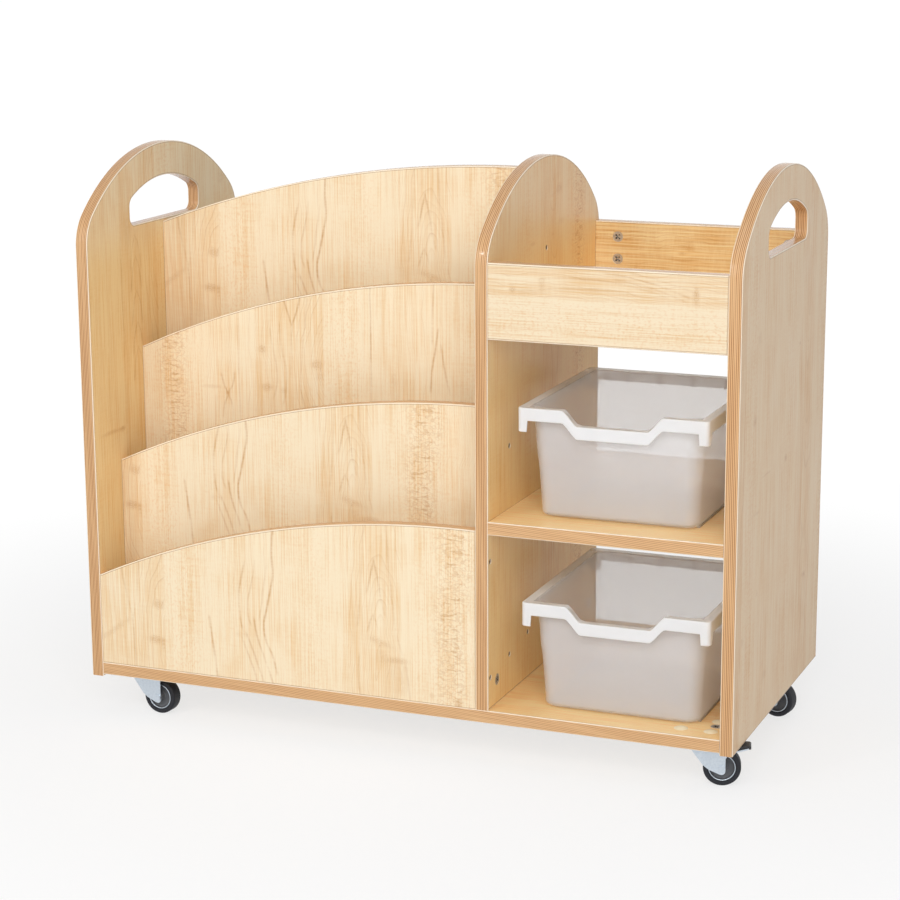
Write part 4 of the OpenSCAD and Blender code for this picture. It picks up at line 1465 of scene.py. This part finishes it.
        # painted light on the tops of base and shelf, painted bounce shade on the box floor's top
        return {
            "base_board": self._plank(
                "base_deck", Lay.LEVEL, self.base, (self.left_in, self.right_in), depth,
                (Print(40.0), Print(160.0, -8000.0, shade_tint=ShadeAndToneTint.TOP_LIGHT)),
                self._cams(base_ends, self.base_cams, True) + nuts),
            "shelf_board": self._plank(
                "shelf_deck", Lay.LEVEL, self.shelf, self.bay, depth,
                (Print(260.0), Print(410.0, -8200.0, shade_tint=ShadeAndToneTint.TOP_LIGHT)),
                self._cams(self.bay_cams, self.shelf_cams, False)),
            "top_box_floor": self._plank(
                "box_floor_deck", Lay.LEVEL, self.box, self.bay,
                (self.front + self.board, self.rear - self.board),
                (Print(420.0), Print(30.0, -8400.0, shade_tint=ShadeAndToneTint.WARM_SHADE)),
                self._cams(self.bay_cams, self.box_cams, False), CRISP)}

    def _rails(self) -> dict[str, Board]:
        """Rails of the top box, with cams on their inner faces.

        Returns:
            Front rail and back rail, by node.
        """
        top = self.box + self.rail
        bay = self.bay[0]
        places = (self.bay_cams, tuple(top - drop for drop in self.rail_cam_drops))
        # painted bounce shade on the front rail's inner face; COOL and YELLOW shift the rails' tone
        return {
            "top_box_front_rail": self._plank(
                "box_front_board", Lay.UPRIGHT, self.front, self.bay, (self.box, top),
                (Print(743.0, 3400.0 - bay, -1.0, ShadeAndToneTint.COOL), Print(96.0, shade_tint=ShadeAndToneTint.WARM_SHADE)),
                self._cams(*places, True)),
            "top_box_back_rail": self._plank(
                "box_back_board", Lay.UPRIGHT, self.rear - self.board, self.bay, (self.box, top),
                (Print(-590.0, 4400.0 - bay, shade_tint=ShadeAndToneTint.YELLOW), Print(300.0)),
                self._cams(*places, False))}

    def _tier(self, index: int) -> Board:
        """One upright board of the left bay; its top is a circle that is highest near the divider.

        Args:
            index: its place, from the front.

        Returns:
            The board. The fronts of the first four are cut from two places of the print.
        """
        height, fall = self.tier_heights[index], self.tier_falls[index]
        wide = self.divider - self.left_in
        crest = wide - self.tier_crest
        radius = (crest ** 2 + fall ** 2) / (2 * fall)
        along = np.concatenate([[0.0, self.butt], np.linspace(8, wide - 8, 76),
                                [wide - self.butt, wide]])[::-1]
        top = height - radius + np.sqrt(radius ** 2 - (along - crest) ** 2)
        loop = np.concatenate([np.array([[0, 0], [wide, 0]]), np.stack([along, top], 1)])
        soft = np.concatenate([np.full(3, CRISP), np.full(len(along) - 2, ARRIS), [CRISP]])
        across, ahead = self.tier_shifts[index] if index < 4 else (97.0 * index, -7000.0)
        front = Print(across - self.left_in, ahead - self.base_top)
        low = self.tier_first + index * self.tier_pitch - self.board / 2
        return Board(self.tier_names[index] + "_board", Lay.UPRIGHT, low, low + self.board,
                     loop + [self.left_in, self.base_top], (front, Print(150.0 * index)), soft=soft)

    def build(self, finish: MaplePrint) -> None:
        """Makes every board in place of its node.

        Args:
            finish: the print.
        """
        tiers = {node: self._tier(index) for index, node in enumerate(self.tier_names)}
        for node, board in {**self._panels(), **self._decks(), **self._rails(), **tiers}.items():
            settle(board.build(finish), "carcass", "maple_board", node)


# ---- Trays ----


@dataclass
class Tray:
    """Frosted tray with tapered walls, a rim dipped in front, a skirt and tabs at its corners."""

    name: str
    node: str
    x: float
    y: float
    z: float
    width: float = 258.0
    depth: float = 293.0
    height: float = 151.0
    wall: float = 2.0
    rim: float = 12.0
    foot_in: float = 21.0
    floor_round: float = 6.0
    step: float = 0.7
    step_height: float = 74.0
    bead: float = 1.2
    skirt: float = 17.0
    dip: float = 20.0
    dip_top: float = 135.0
    dip_low: float = 96.0
    corner_round: float = 6.0
    tab: float = 15.0
    tab_width: float = 12.5
    tab_depth: float = 8.0
    foot: float = 2.5
    # section of the rim: out from the outer edge and up from the top
    rim_top: tuple = ((-4.2, -0.6), (-3.4, 0.0), (-1.6, 0.0))
    rim_under: tuple = ((-2.5, -3.2), (-3.4, -2.2))
    # the same, up from the skirt's foot
    skirt_foot: tuple = ((0.0, 6.0), (0.0, 0.6), (-0.6, 0.0), (-1.9, 0.0), (-2.5, 0.6))
    # where the wall meets the rim: out from the wall and up from the top
    neck: tuple = ((1.2, -2.2), (0.2, -3.4))
    neck_drop: float = 2.2
    neck_round: float = 1.6
    floor_rings: tuple = (40.0, 7.0)
    band: float = 3.5
    wall_corner: float = 22.0
    dip_start: float = 96.0
    dip_reach: float = 30.0
    # distance in from the side, and half sizes
    runner: tuple = (25.0, (2.5, 102.0, 1.5))
    # distances in from the rear and down from the top, and half sizes
    rib: tuple = (7.0, 9.5, (0.8, 5.5, 7.0))
    ribs: int = 4

    def _stations(self, half: float, tab: float, count: int) -> np.ndarray:
        """Places along one side: even steps, with a pair of points at each edge of a tab.

        Args:
            half: half length of the side without its corners.
            tab: length of a tab.
            count: number of even steps.

        Returns:
            The places, as shares of the half length.
        """
        edge = half + self.corner_round - tab
        places = [np.linspace(-half, half, count), [-edge - 0.1, -edge, edge, edge + 0.1]]
        return np.unique(np.round(np.concatenate(places), 3)) / half

    def _corner(self, x: float, y: float, radius: float, quarter: int) -> np.ndarray:
        """Quarter circle round a point, from a number of right angles on, without its ends."""
        start = quarter * math.pi / 2
        return arc((x, y), radius, start, start + math.pi / 2, 10)[1:-1]

    def _ring(self, half_x: np.ndarray, half_y: np.ndarray, radius: np.ndarray) -> np.ndarray:
        """Rounded rectangles that share their stations.

        A station is scaled with the straight part of its side, and a corner is a quarter circle.

        Args:
            half_x: half width of each ring.
            half_y: half depth of each ring.
            radius: corner radius of each ring.

        Returns:
            Rings by points by 2, turning left from the front left corner.
        """
        front = self._stations(self.width / 2 - self.corner_round, self.tab_width, 97)
        side = self._stations(self.depth / 2 - self.corner_round, self.tab_depth, 31)
        rows = []
        for x, y, r in zip(half_x, half_y, radius):
            a, b = x - r, y - r
            low = np.stack([front * a, np.full(len(front), -y)], 1)
            right = np.stack([np.full(len(side), x), side * b], 1)
            rows.append(np.concatenate([
                low, self._corner(a, -b, r, -1), right, self._corner(a, b, r, 0),
                low[::-1] * [1, -1], self._corner(-a, b, r, 1), right[::-1] * [-1, 1],
                self._corner(-a, -b, r, 2)]))
        return np.stack(rows)

    def _drop(self, flat: np.ndarray) -> np.ndarray:
        """How far the rim dips: 0 beside the dip, its depth in the middle, straight slopes between.

        Args:
            flat: place of each point across and in depth, from the tray's middle.

        Returns:
            The fall: a share of the dip that rises evenly, with a third of it eased at both ends.
        """
        slope = (self.dip_top / 2 - np.abs(flat[..., 0])) / ((self.dip_top - self.dip_low) / 2)
        share = np.clip(slope, 0, 1)
        soft = share * share * (3 - 2 * share)
        return self.dip * (share * 0.7 + soft * 0.3) * (flat[..., 1] < 0)

    def _taper(self, z: float) -> float:
        """Half width of the outer wall at a height, over its step."""
        low, high = self.width / 2 - self.foot_in, self.width / 2 - self.rim
        return low + (high - low) * (z - self.foot) / (self.height - self.foot)

    def _section(self) -> tuple:
        """Section of the shell, from the middle of its floor over the rim to the middle underneath.

        Returns:
            Half width, half depth, corner radius, height and the share of the dip for each point.
        """
        top, foot, wall, bead = self.height, self.foot, self.wall, self.bead
        low, high, edge = self.width / 2 - self.foot_in, self.width / 2 - self.rim, self.width / 2
        bend, floor = self.floor_round, foot + wall
        turn = np.linspace(0, math.pi / 2, 6)
        neck, soft = top - self.neck_drop, self.neck_round
        rise = np.linspace(floor + bend + 1, neck, 14)
        ledge = self.step * np.clip((rise - self.step_height) / 3, 0, 1) - self.step
        skirt = top - self.skirt
        points = [(low - wall - inward, floor) for inward in self.floor_rings]
        points += [(low - wall - bend + bend * math.sin(t), floor + bend - bend * math.cos(t))
                   for t in turn]
        points += [(self._taper(z) - wall + out, z) for z, out in zip(rise, ledge)]
        points += [(high - wall + soft - soft * math.cos(t), neck + soft * math.sin(t))
                   for t in turn]
        points += [(edge + x, top + z) for x, z in self.rim_top]
        points += [(edge - bead + bead * math.sin(t), top - bead + bead * math.cos(t))
                   for t in turn]
        points += [(edge + x, skirt + z) for x, z in self.skirt_foot]
        points += [(edge + x, top + z) for x, z in self.rim_under]
        points += [(high + x, top + z) for x, z in self.neck]
        points += [(self._taper(z) + out, z) for z, out in zip(rise[::-1], ledge[::-1])
                   if z < top - 6]
        points += [(low - bend + bend * math.cos(t), foot + bend - bend * math.sin(t))
                   for t in turn]
        points += [(low - self.floor_rings[0], foot)]
        across, height = np.array(points).T
        inward = edge - across
        deep = self.depth / 2 - inward - np.clip((inward - self.rim) / 9, 0, 1) * 3
        radius = np.clip(np.where(inward < self.band, self.corner_round - inward,
                                  self.wall_corner - (inward - self.rim) * 0.4), 3.5, 40)
        radius = np.where((inward >= self.band) & (inward < self.rim),
                          self.corner_round + (inward - self.band) * 1.9, radius)
        share = np.clip((height - self.dip_start) / self.dip_reach, 0, 1)
        return across, deep, radius, height, share

    def _block(self, shell: Shell, centre: tuple, half: tuple) -> None:
        """Adds a small block with bevelled ends to the shell.

        Args:
            shell: the mesh so far.
            centre: its centre, from the tray's own.
            half: its half sizes.
        """
        x, y, z = half
        cut = min(half) * 0.3
        corner = np.array([[-1, -1], [1, -1], [1, 1], [-1, 1]], float)
        inner = corner * [x - cut, y - cut]
        outer = corner * [x, y]
        flat = np.stack([inner, outer, outer, inner])
        height = np.repeat(np.array([-z, cut - z, z - cut, z]), 4).reshape(4, 4, 1)
        shell.tube(np.concatenate([flat, height], -1) + np.array(centre) + [self.x, self.y, self.z])

    def build(self, finish: FrostedPlastic) -> Any:
        """Makes the tray: its section is carried round the rounded rectangle, dipped in front.

        Args:
            finish: the plastic.

        Returns:
            The object.
        """
        across, deep, radius, height, share = self._section()
        flat = self._ring(across, deep, radius)
        z = np.repeat(height[:, None], flat.shape[1], 1) - self._drop(flat) * share[:, None]
        skirt = (height < self.height - self.skirt + 7) & (across > self.width / 2 - 3)
        outer = self._ring(np.array([self.width / 2]), np.array([self.depth / 2]),
                           np.array([self.corner_round]))[0]
        at_tab = (np.abs(outer[:, 0]) > self.width / 2 - self.tab_width - 0.05) & (
            np.abs(outer[:, 1]) > self.depth / 2 - self.tab_depth - 0.05)
        z -= self.tab * skirt[:, None] * at_tab[None, :]
        shell = Shell()
        shell.tube(np.concatenate([flat, z[..., None]], -1) + [self.x, self.y, self.z])
        inward, half = self.runner
        for side in (-1, 1):
            self._block(shell, (side * (self.width / 2 - inward), 0.0, half[2]), half)
        inward, drop, half = self.rib
        shares = np.arange(1, self.ribs + 1) / (self.ribs + 1) - 0.5
        for x in shares * (self.width - 2 * self.rim):
            self._block(shell, (float(x), self.depth / 2 - inward, self.height - drop), half)
        return shell.piece(self.name, finish.material(self), 0.7)


# ---- Castors ----


MERGE = 2e-6  # metres within which corners are one
FLAT = 0.004  # angle in radians up to which faces are one


def rounded_copy(node: str, name: str, width: float, material: Any) -> Any:
    """Copy of a node's mesh, merged, with its flat faces joined and its edges rounded.

    Args:
        node: the node.
        name: the new object's name.
        width: width of the rounding in millimetres.
        material: the finish.

    Returns:
        The object.
    """
    work = bmesh.new()
    work.from_mesh(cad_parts[node].data)
    bmesh.ops.remove_doubles(work, verts=work.verts, dist=MERGE)
    bmesh.ops.dissolve_limit(work, angle_limit=FLAT, verts=work.verts, edges=work.edges)
    mesh = bpy.data.meshes.new(name)
    work.to_mesh(mesh)
    work.free()
    mesh.materials.clear()
    mesh.materials.append(material)
    piece = add_object(name, mesh, SHARP)
    bevel = piece.modifiers.new("rounding", "BEVEL")
    bevel.width = width * MM
    bevel.segments = 2
    bevel.limit_method = "ANGLE"
    bevel.angle_limit = SHARP
    bevel.use_clamp_overlap = True
    return piece


def both_halves(right: np.ndarray) -> np.ndarray:
    """A section from its half: the half, then its mirror image, backwards."""
    return np.concatenate([right, (right * [1, -1])[::-1]])


@dataclass
class Castor:
    """Swivel castor: its wheel trails along a direction from the swivel axis."""

    corner: str
    x: float
    y: float
    turn: float
    braked: bool
    trail: float = 29.5
    wheel: float = 25.0
    tyre_width: float = 19.0
    tyre_round: float = 3.0
    rim: float = 18.2
    # out from the rim and from the flat side
    tyre_side: tuple = ((0.1, -1.2), (0.5, -0.5), (1.1, -0.35), (1.3, 0.0))
    tread_half: float = 1.0
    ring_place: tuple[float, float] = (17.35, 7.9)
    ring_radius: float = 0.75
    brake_x: float = 38.5
    brake_z: float = 52.0
    hub: tuple = ((3.1, 11.1), (5.4, 11.1), (5.9, 10.6), (6.3, 4.6), (7.4, 4.1), (13.4, 4.9),
                  (15.2, 5.6), (15.9, 7.4), (16.3, 7.9), (17.0, 8.1), (17.7, 8.05), (18.1, 7.6))
    pedal_front: tuple = ((10.5, -2.75), (25.55, 1.25), (25.55, -0.8), (28.0, -0.45), (28.5, 0.1),
                          (28.5, 3.1), (27.9, 3.6), (27.0, 3.85))
    pedal_back: tuple = ((13.4, 0.6), (12.6, 1.6), (11.9, 2.1), (11.1, 2.0), (10.6, 1.3))
    pedal_half: float = 9.5
    pedal_slope: float = 0.267
    pedal_rise: float = 1.45
    pedal_top: float = 4.3
    pedal_arris: float = 0.6
    pedal_end: float = 0.93
    ridges: Stretch = Stretch(14.0, 26.5)
    ridge_rate: float = 2.6
    ridge_height: float = 0.45

    def _place(self, spots: np.ndarray) -> np.ndarray:
        """Turns points about the swivel axis by the trail's angle and moves them there.

        Args:
            spots: the points, with the trail along the first axis.

        Returns:
            The points in the frame.
        """
        angle = math.radians(self.turn)
        turned = np.stack([spots[..., 0] * math.cos(angle) - spots[..., 1] * math.sin(angle),
                           spots[..., 0] * math.sin(angle) + spots[..., 1] * math.cos(angle),
                           spots[..., 2]], -1)
        return turned + [self.x, self.y, 0]

    def _lathe(self, section: np.ndarray, count: int) -> Shell:
        """Closed section, turned about the axle in equal steps.

        Args:
            section: radius and offset along the axle of each point.
            count: number of steps.

        Returns:
            The shell.
        """
        angle = np.linspace(0, 2 * math.pi, count, endpoint=False)
        radius, offset = section[:, :1], section[:, 1:]
        spots = np.stack([self.trail + radius * np.cos(angle), offset + 0 * angle,
                          self.wheel + radius * np.sin(angle)], -1)
        shell = Shell()
        shell.grid(self._place(spots), close_rows=True)
        return shell

    def _tyre(self) -> Shell:
        """Tyre: a bead, a flat side with a step, a rounded shoulder and a tread on each half.

        Returns:
            The shell.
        """
        half, wheel, soft = self.tyre_width / 2, self.wheel, self.tyre_round
        shoulder = arc((wheel - soft, half - soft), soft, math.pi / 2, 0, 8)
        side = np.array(self.tyre_side) + [self.rim, half]
        line = np.concatenate([side, shoulder, [[wheel, self.tread_half]]])
        return self._lathe(both_halves(line), 72)

    def _rings(self) -> Shell:
        """Bright ring in each side of the wheel: a small circle turned about the axle.

        Returns:
            The shell.
        """
        radius, offset = self.ring_place
        rings = Shell()
        for side in (offset, -offset):
            circle = arc((radius, side), self.ring_radius, 0, 2 * math.pi, 13)[:-1]
            rings.join(self._lathe(circle, 64))
        return rings

    def _pedal(self) -> Shell:
        """Grip of the brake: its side view is drawn across the pedal's width, with ridges on top.

        Returns:
            The shell.
        """
        ridge = np.linspace(self.ridges.low, self.ridges.high, 41)
        raised = np.sin((ridge - self.ridges.low) * self.ridge_rate) > 0.1
        top = ((ridge - self.pedal_front[0][0]) * self.pedal_slope + self.pedal_rise
               + self.ridge_height * raised)
        line = np.concatenate([self.pedal_front, np.stack([ridge, top], 1)[::-1], self.pedal_back])
        line[:, 1] = np.minimum(line[:, 1], self.pedal_top)
        inner = 1.0 - self.pedal_arris / self.pedal_half
        wide = np.array([-1.0, -inner, inner, 1.0])
        middle = line.mean(0)
        shrink = np.array([self.pedal_end, 1.0, 1.0, self.pedal_end])
        flat = middle + (line[None] - middle) * shrink[:, None, None]
        spots = np.stack([self.brake_x + flat[..., 0],
                          np.repeat(wide[:, None] * self.pedal_half, len(line), 1),
                          self.brake_z + flat[..., 1]], -1)
        shell = Shell()
        shell.tube(self._place(spots))
        return shell

    def build(self, finishes: dict[str, Any]) -> None:
        """Makes the wheel, the fork and the brake in place of their nodes.

        Args:
            finishes: the materials, by finish.
        """
        at, zinc = "_" + self.corner, finishes["zinc"]
        castor, wheel, brake = "castor" + at, "wheel" + at, "brake" + at
        tyre = self._tyre().piece("tread" + at, finishes["rubber"])
        settle(tyre, wheel, "tyre_rubber", "tyre" + at)
        hub = self._lathe(both_halves(np.array(self.hub)), 64)
        settle(hub.piece("wheel_core" + at, finishes["hub"], 0.5), wheel, "hub_plastic", "hub" + at)
        settle(self._rings().piece("wheel_rings" + at, zinc), wheel, "castor_zinc")
        fork = rounded_copy("fork" + at, "fork_cheeks" + at, 0.45, zinc)
        settle(fork, castor, "castor_zinc", "fork" + at)
        if self.braked:
            arm = rounded_copy("brake_arm" + at, "brake_lever" + at, 0.35, zinc)
            settle(arm, brake, "castor_zinc", "brake_arm" + at)
            pedal = self._pedal().piece("pedal_grip" + at, finishes["pedal"], 0.5)
            settle(pedal, brake, "pedal_plastic", "brake_pedal" + at)


# ---- Fittings that keep their shape ----


@dataclass(frozen=True)
class Fittings:
    """Finishes for the nodes that stay as they are, and for the pieces of the castors."""

    zinc: Metal = Metal("plated_zinc", paint(220, 228, 235), paint(184, 195, 207), 0.3)
    cam: Metal = Metal("cast_zinc", paint(226, 226, 222), paint(178, 178, 176), 0.32)
    dark: Metal = Metal("blackened_screw", paint(70, 62, 56), paint(34, 30, 28), 0.35)
    cap: Moulded = Moulded("cream_cap", paint(252, 240, 208), paint(244, 229, 194), 0.4)
    rubber: Moulded = Moulded("castor_rubber", paint(22, 25, 36), paint(10, 12, 18), 0.55)
    hub: Moulded = Moulded("grey_hub", paint(104, 106, 110), paint(70, 73, 78), 0.45)
    pedal: Moulded = Moulded("pedal_black", paint(46, 46, 50), paint(24, 24, 27), 0.36)
    rod: BeechRod = BeechRod()
    kept: tuple = (("cam_fittings", "cam"), ("cam_bolts", "cam"), ("dowels", "rod"),
                   ("tier_screws", "dark"), ("castor_bolts", "zinc"), ("sleeve_nuts", "zinc"),
                   ("bolt_caps", "cap"), ("king_pins", "zinc"), ("swivel_balls", "zinc"),
                   ("castor_plate", "zinc"), ("axle", "zinc"), ("brake_pin", "zinc"))

    def dress(self) -> dict[str, Any]:
        """Gives each kept node its finish, by the start of its name.

        Returns:
            The materials by finish, for the pieces of the castors.
        """
        made = {name: getattr(self, name).material() for name in
                ("zinc", "cam", "dark", "cap", "rubber", "hub", "pedal", "rod")}
        for node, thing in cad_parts.items():
            for start, finish in self.kept:
                if node.startswith(start):
                    thing.data.materials.clear()
                    thing.data.materials.append(made[finish])
                    log.info("%s: kept, finished in %s", node, finish)
        return made


# ---- Stage ----


@dataclass(frozen=True)
class Lamp:
    """Square soft lamp: its place and size in metres, and its power in watts."""

    name: str
    place: tuple[float, float, float]
    size: float
    power: float


@dataclass
class Studio:
    """Pale floor, soft lamps and the camera at the photograph's angle."""

    camera_place: tuple = (1.22911, -3.07247, 1.14336)
    yaw: float = 0.384624
    pitch: float = 0.227406
    roll: float = -0.005706
    lens: float = 96.504
    aim: tuple = (0.0, 0.0, 0.4)
    sky: float = 0.34
    glow: float = 1.02
    floor_half: float = 60.0
    lamps: tuple = (Lamp("key_right", (1.55, -3.7, 2.5), 2.6, 84.0),
                    Lamp("key_left", (-1.7, -3.8, 2.3), 2.4, 28.0),
                    Lamp("top", (0.2, -0.6, 4.2), 2.6, 18.0),
                    Lamp("spark", (-1.37, -3.52, 2.8), 0.25, 12.0))

    def _camera(self) -> None:
        """Camera from its place, its turn to the left, its tilt down and its roll."""
        ahead = Vector((-math.sin(self.yaw) * math.cos(self.pitch),
                        math.cos(self.yaw) * math.cos(self.pitch), -math.sin(self.pitch)))
        right = Vector((math.cos(self.yaw), math.sin(self.yaw), 0))
        up = right.cross(ahead)
        right, up = (math.cos(self.roll) * right + math.sin(self.roll) * up,
                     math.cos(self.roll) * up - math.sin(self.roll) * right)
        data = bpy.data.cameras.new("camera")
        data.sensor_width = 36.0
        data.sensor_fit = "HORIZONTAL"
        data.lens = self.lens
        data.clip_end = 200.0
        camera = add_object("camera", data)
        camera.matrix_world = Matrix([(right[axis], up[axis], -ahead[axis], self.camera_place[axis])
                                      for axis in range(3)] + [(0, 0, 0, 1)])
        bpy.context.scene.camera = camera

    def _light(self, lamp: Lamp) -> None:
        """Sets up one lamp, aimed at the trolley's middle.

        Args:
            lamp: the lamp.
        """
        data = bpy.data.lights.new(lamp.name, "AREA")
        data.shape = "SQUARE"
        data.size = lamp.size
        data.energy = lamp.power
        light = add_object(lamp.name, data)
        light.location = lamp.place
        ahead = Vector(self.aim) - Vector(lamp.place)
        light.rotation_euler = ahead.to_track_quat("-Z", "Y").to_euler()

    def _floor(self) -> None:
        """Wide floor that turns to plain white away from the trolley, for the camera's rays."""
        spots = np.array([[-1, -1, 0], [1, -1, 0], [1, 1, 0], [-1, 1, 0]]) * self.floor_half
        mesh = bpy.data.meshes.new("floor")
        mesh.from_pydata(spots.tolist(), [], [(0, 1, 2, 3)])
        graph = Coat("studio_floor")
        x, y, _ = graph.spot
        away = ((x * x + y * y).root() * MM).rise(0.5, 1.6)
        graph.set(Base_Color=paint(246, 246, 247), Roughness=0.9)
        white = graph.add("ShaderNodeEmission", None, {"Color": WHITE, "Strength": self.glow})
        share = graph.seen() * (0.7 + away * 0.3)
        mesh.materials.append(graph.done(
            graph.add("ShaderNodeMixShader", None, {0: share, 1: graph.shader, 2: white})))
        add_object("floor", mesh)

    def _world(self) -> None:
        """Even grey-white sky that looks plain white to the camera and in reflections."""
        world = bpy.data.worlds.new("sky")
        graph = Graph(world)
        soft, white = (
            graph.add("ShaderNodeBackground", None, {"Color": WHITE, "Strength": strength})
            for strength in (self.sky, 1.0))
        mixed = graph.add("ShaderNodeMixShader", None, {0: graph.seen(), 1: soft, 2: white})
        graph.add("ShaderNodeOutputWorld", None, {"Surface": mixed})
        bpy.context.scene.world = world

    def build(self) -> None:
        """Sets up the camera, the floor, the sky and the lamps."""
        self._camera()
        self._floor()
        self._world()
        for lamp in self.lamps:
            self._light(lamp)
        bpy.context.scene.view_settings.view_transform = "Standard"
        log.info("studio: camera, floor, sky and lamps")


def main() -> None:
    """Builds every sub-assembly in turn."""
    logging.basicConfig(level=logging.INFO, format="%(name)s: %(message)s")
    Studio().build()
    finishes = Fittings().dress()
    Carcass().build(MaplePrint())
    frosted = FrostedPlastic()
    for tray in (Tray("frosted_tray_upper", "upper_tray", 290.199, -54.5, 340.0),
                 Tray("frosted_tray_lower", "lower_tray", 299.199, -63.5, 80.0)):
        settle(tray.build(frosted), tray.node, "tray_plastic", tray.node)
    for castor in (Castor("front_left", -417.301, -177.0, -4.0, False),
                   Castor("front_right", 407.699, -177.0, 15.5, True),
                   Castor("rear_left", -417.301, 127.0, 8.0, True),
                   Castor("rear_right", 407.699, 127.0, -10.0, False)):
        castor.build(finishes)


if __name__ == "__main__":
    main()
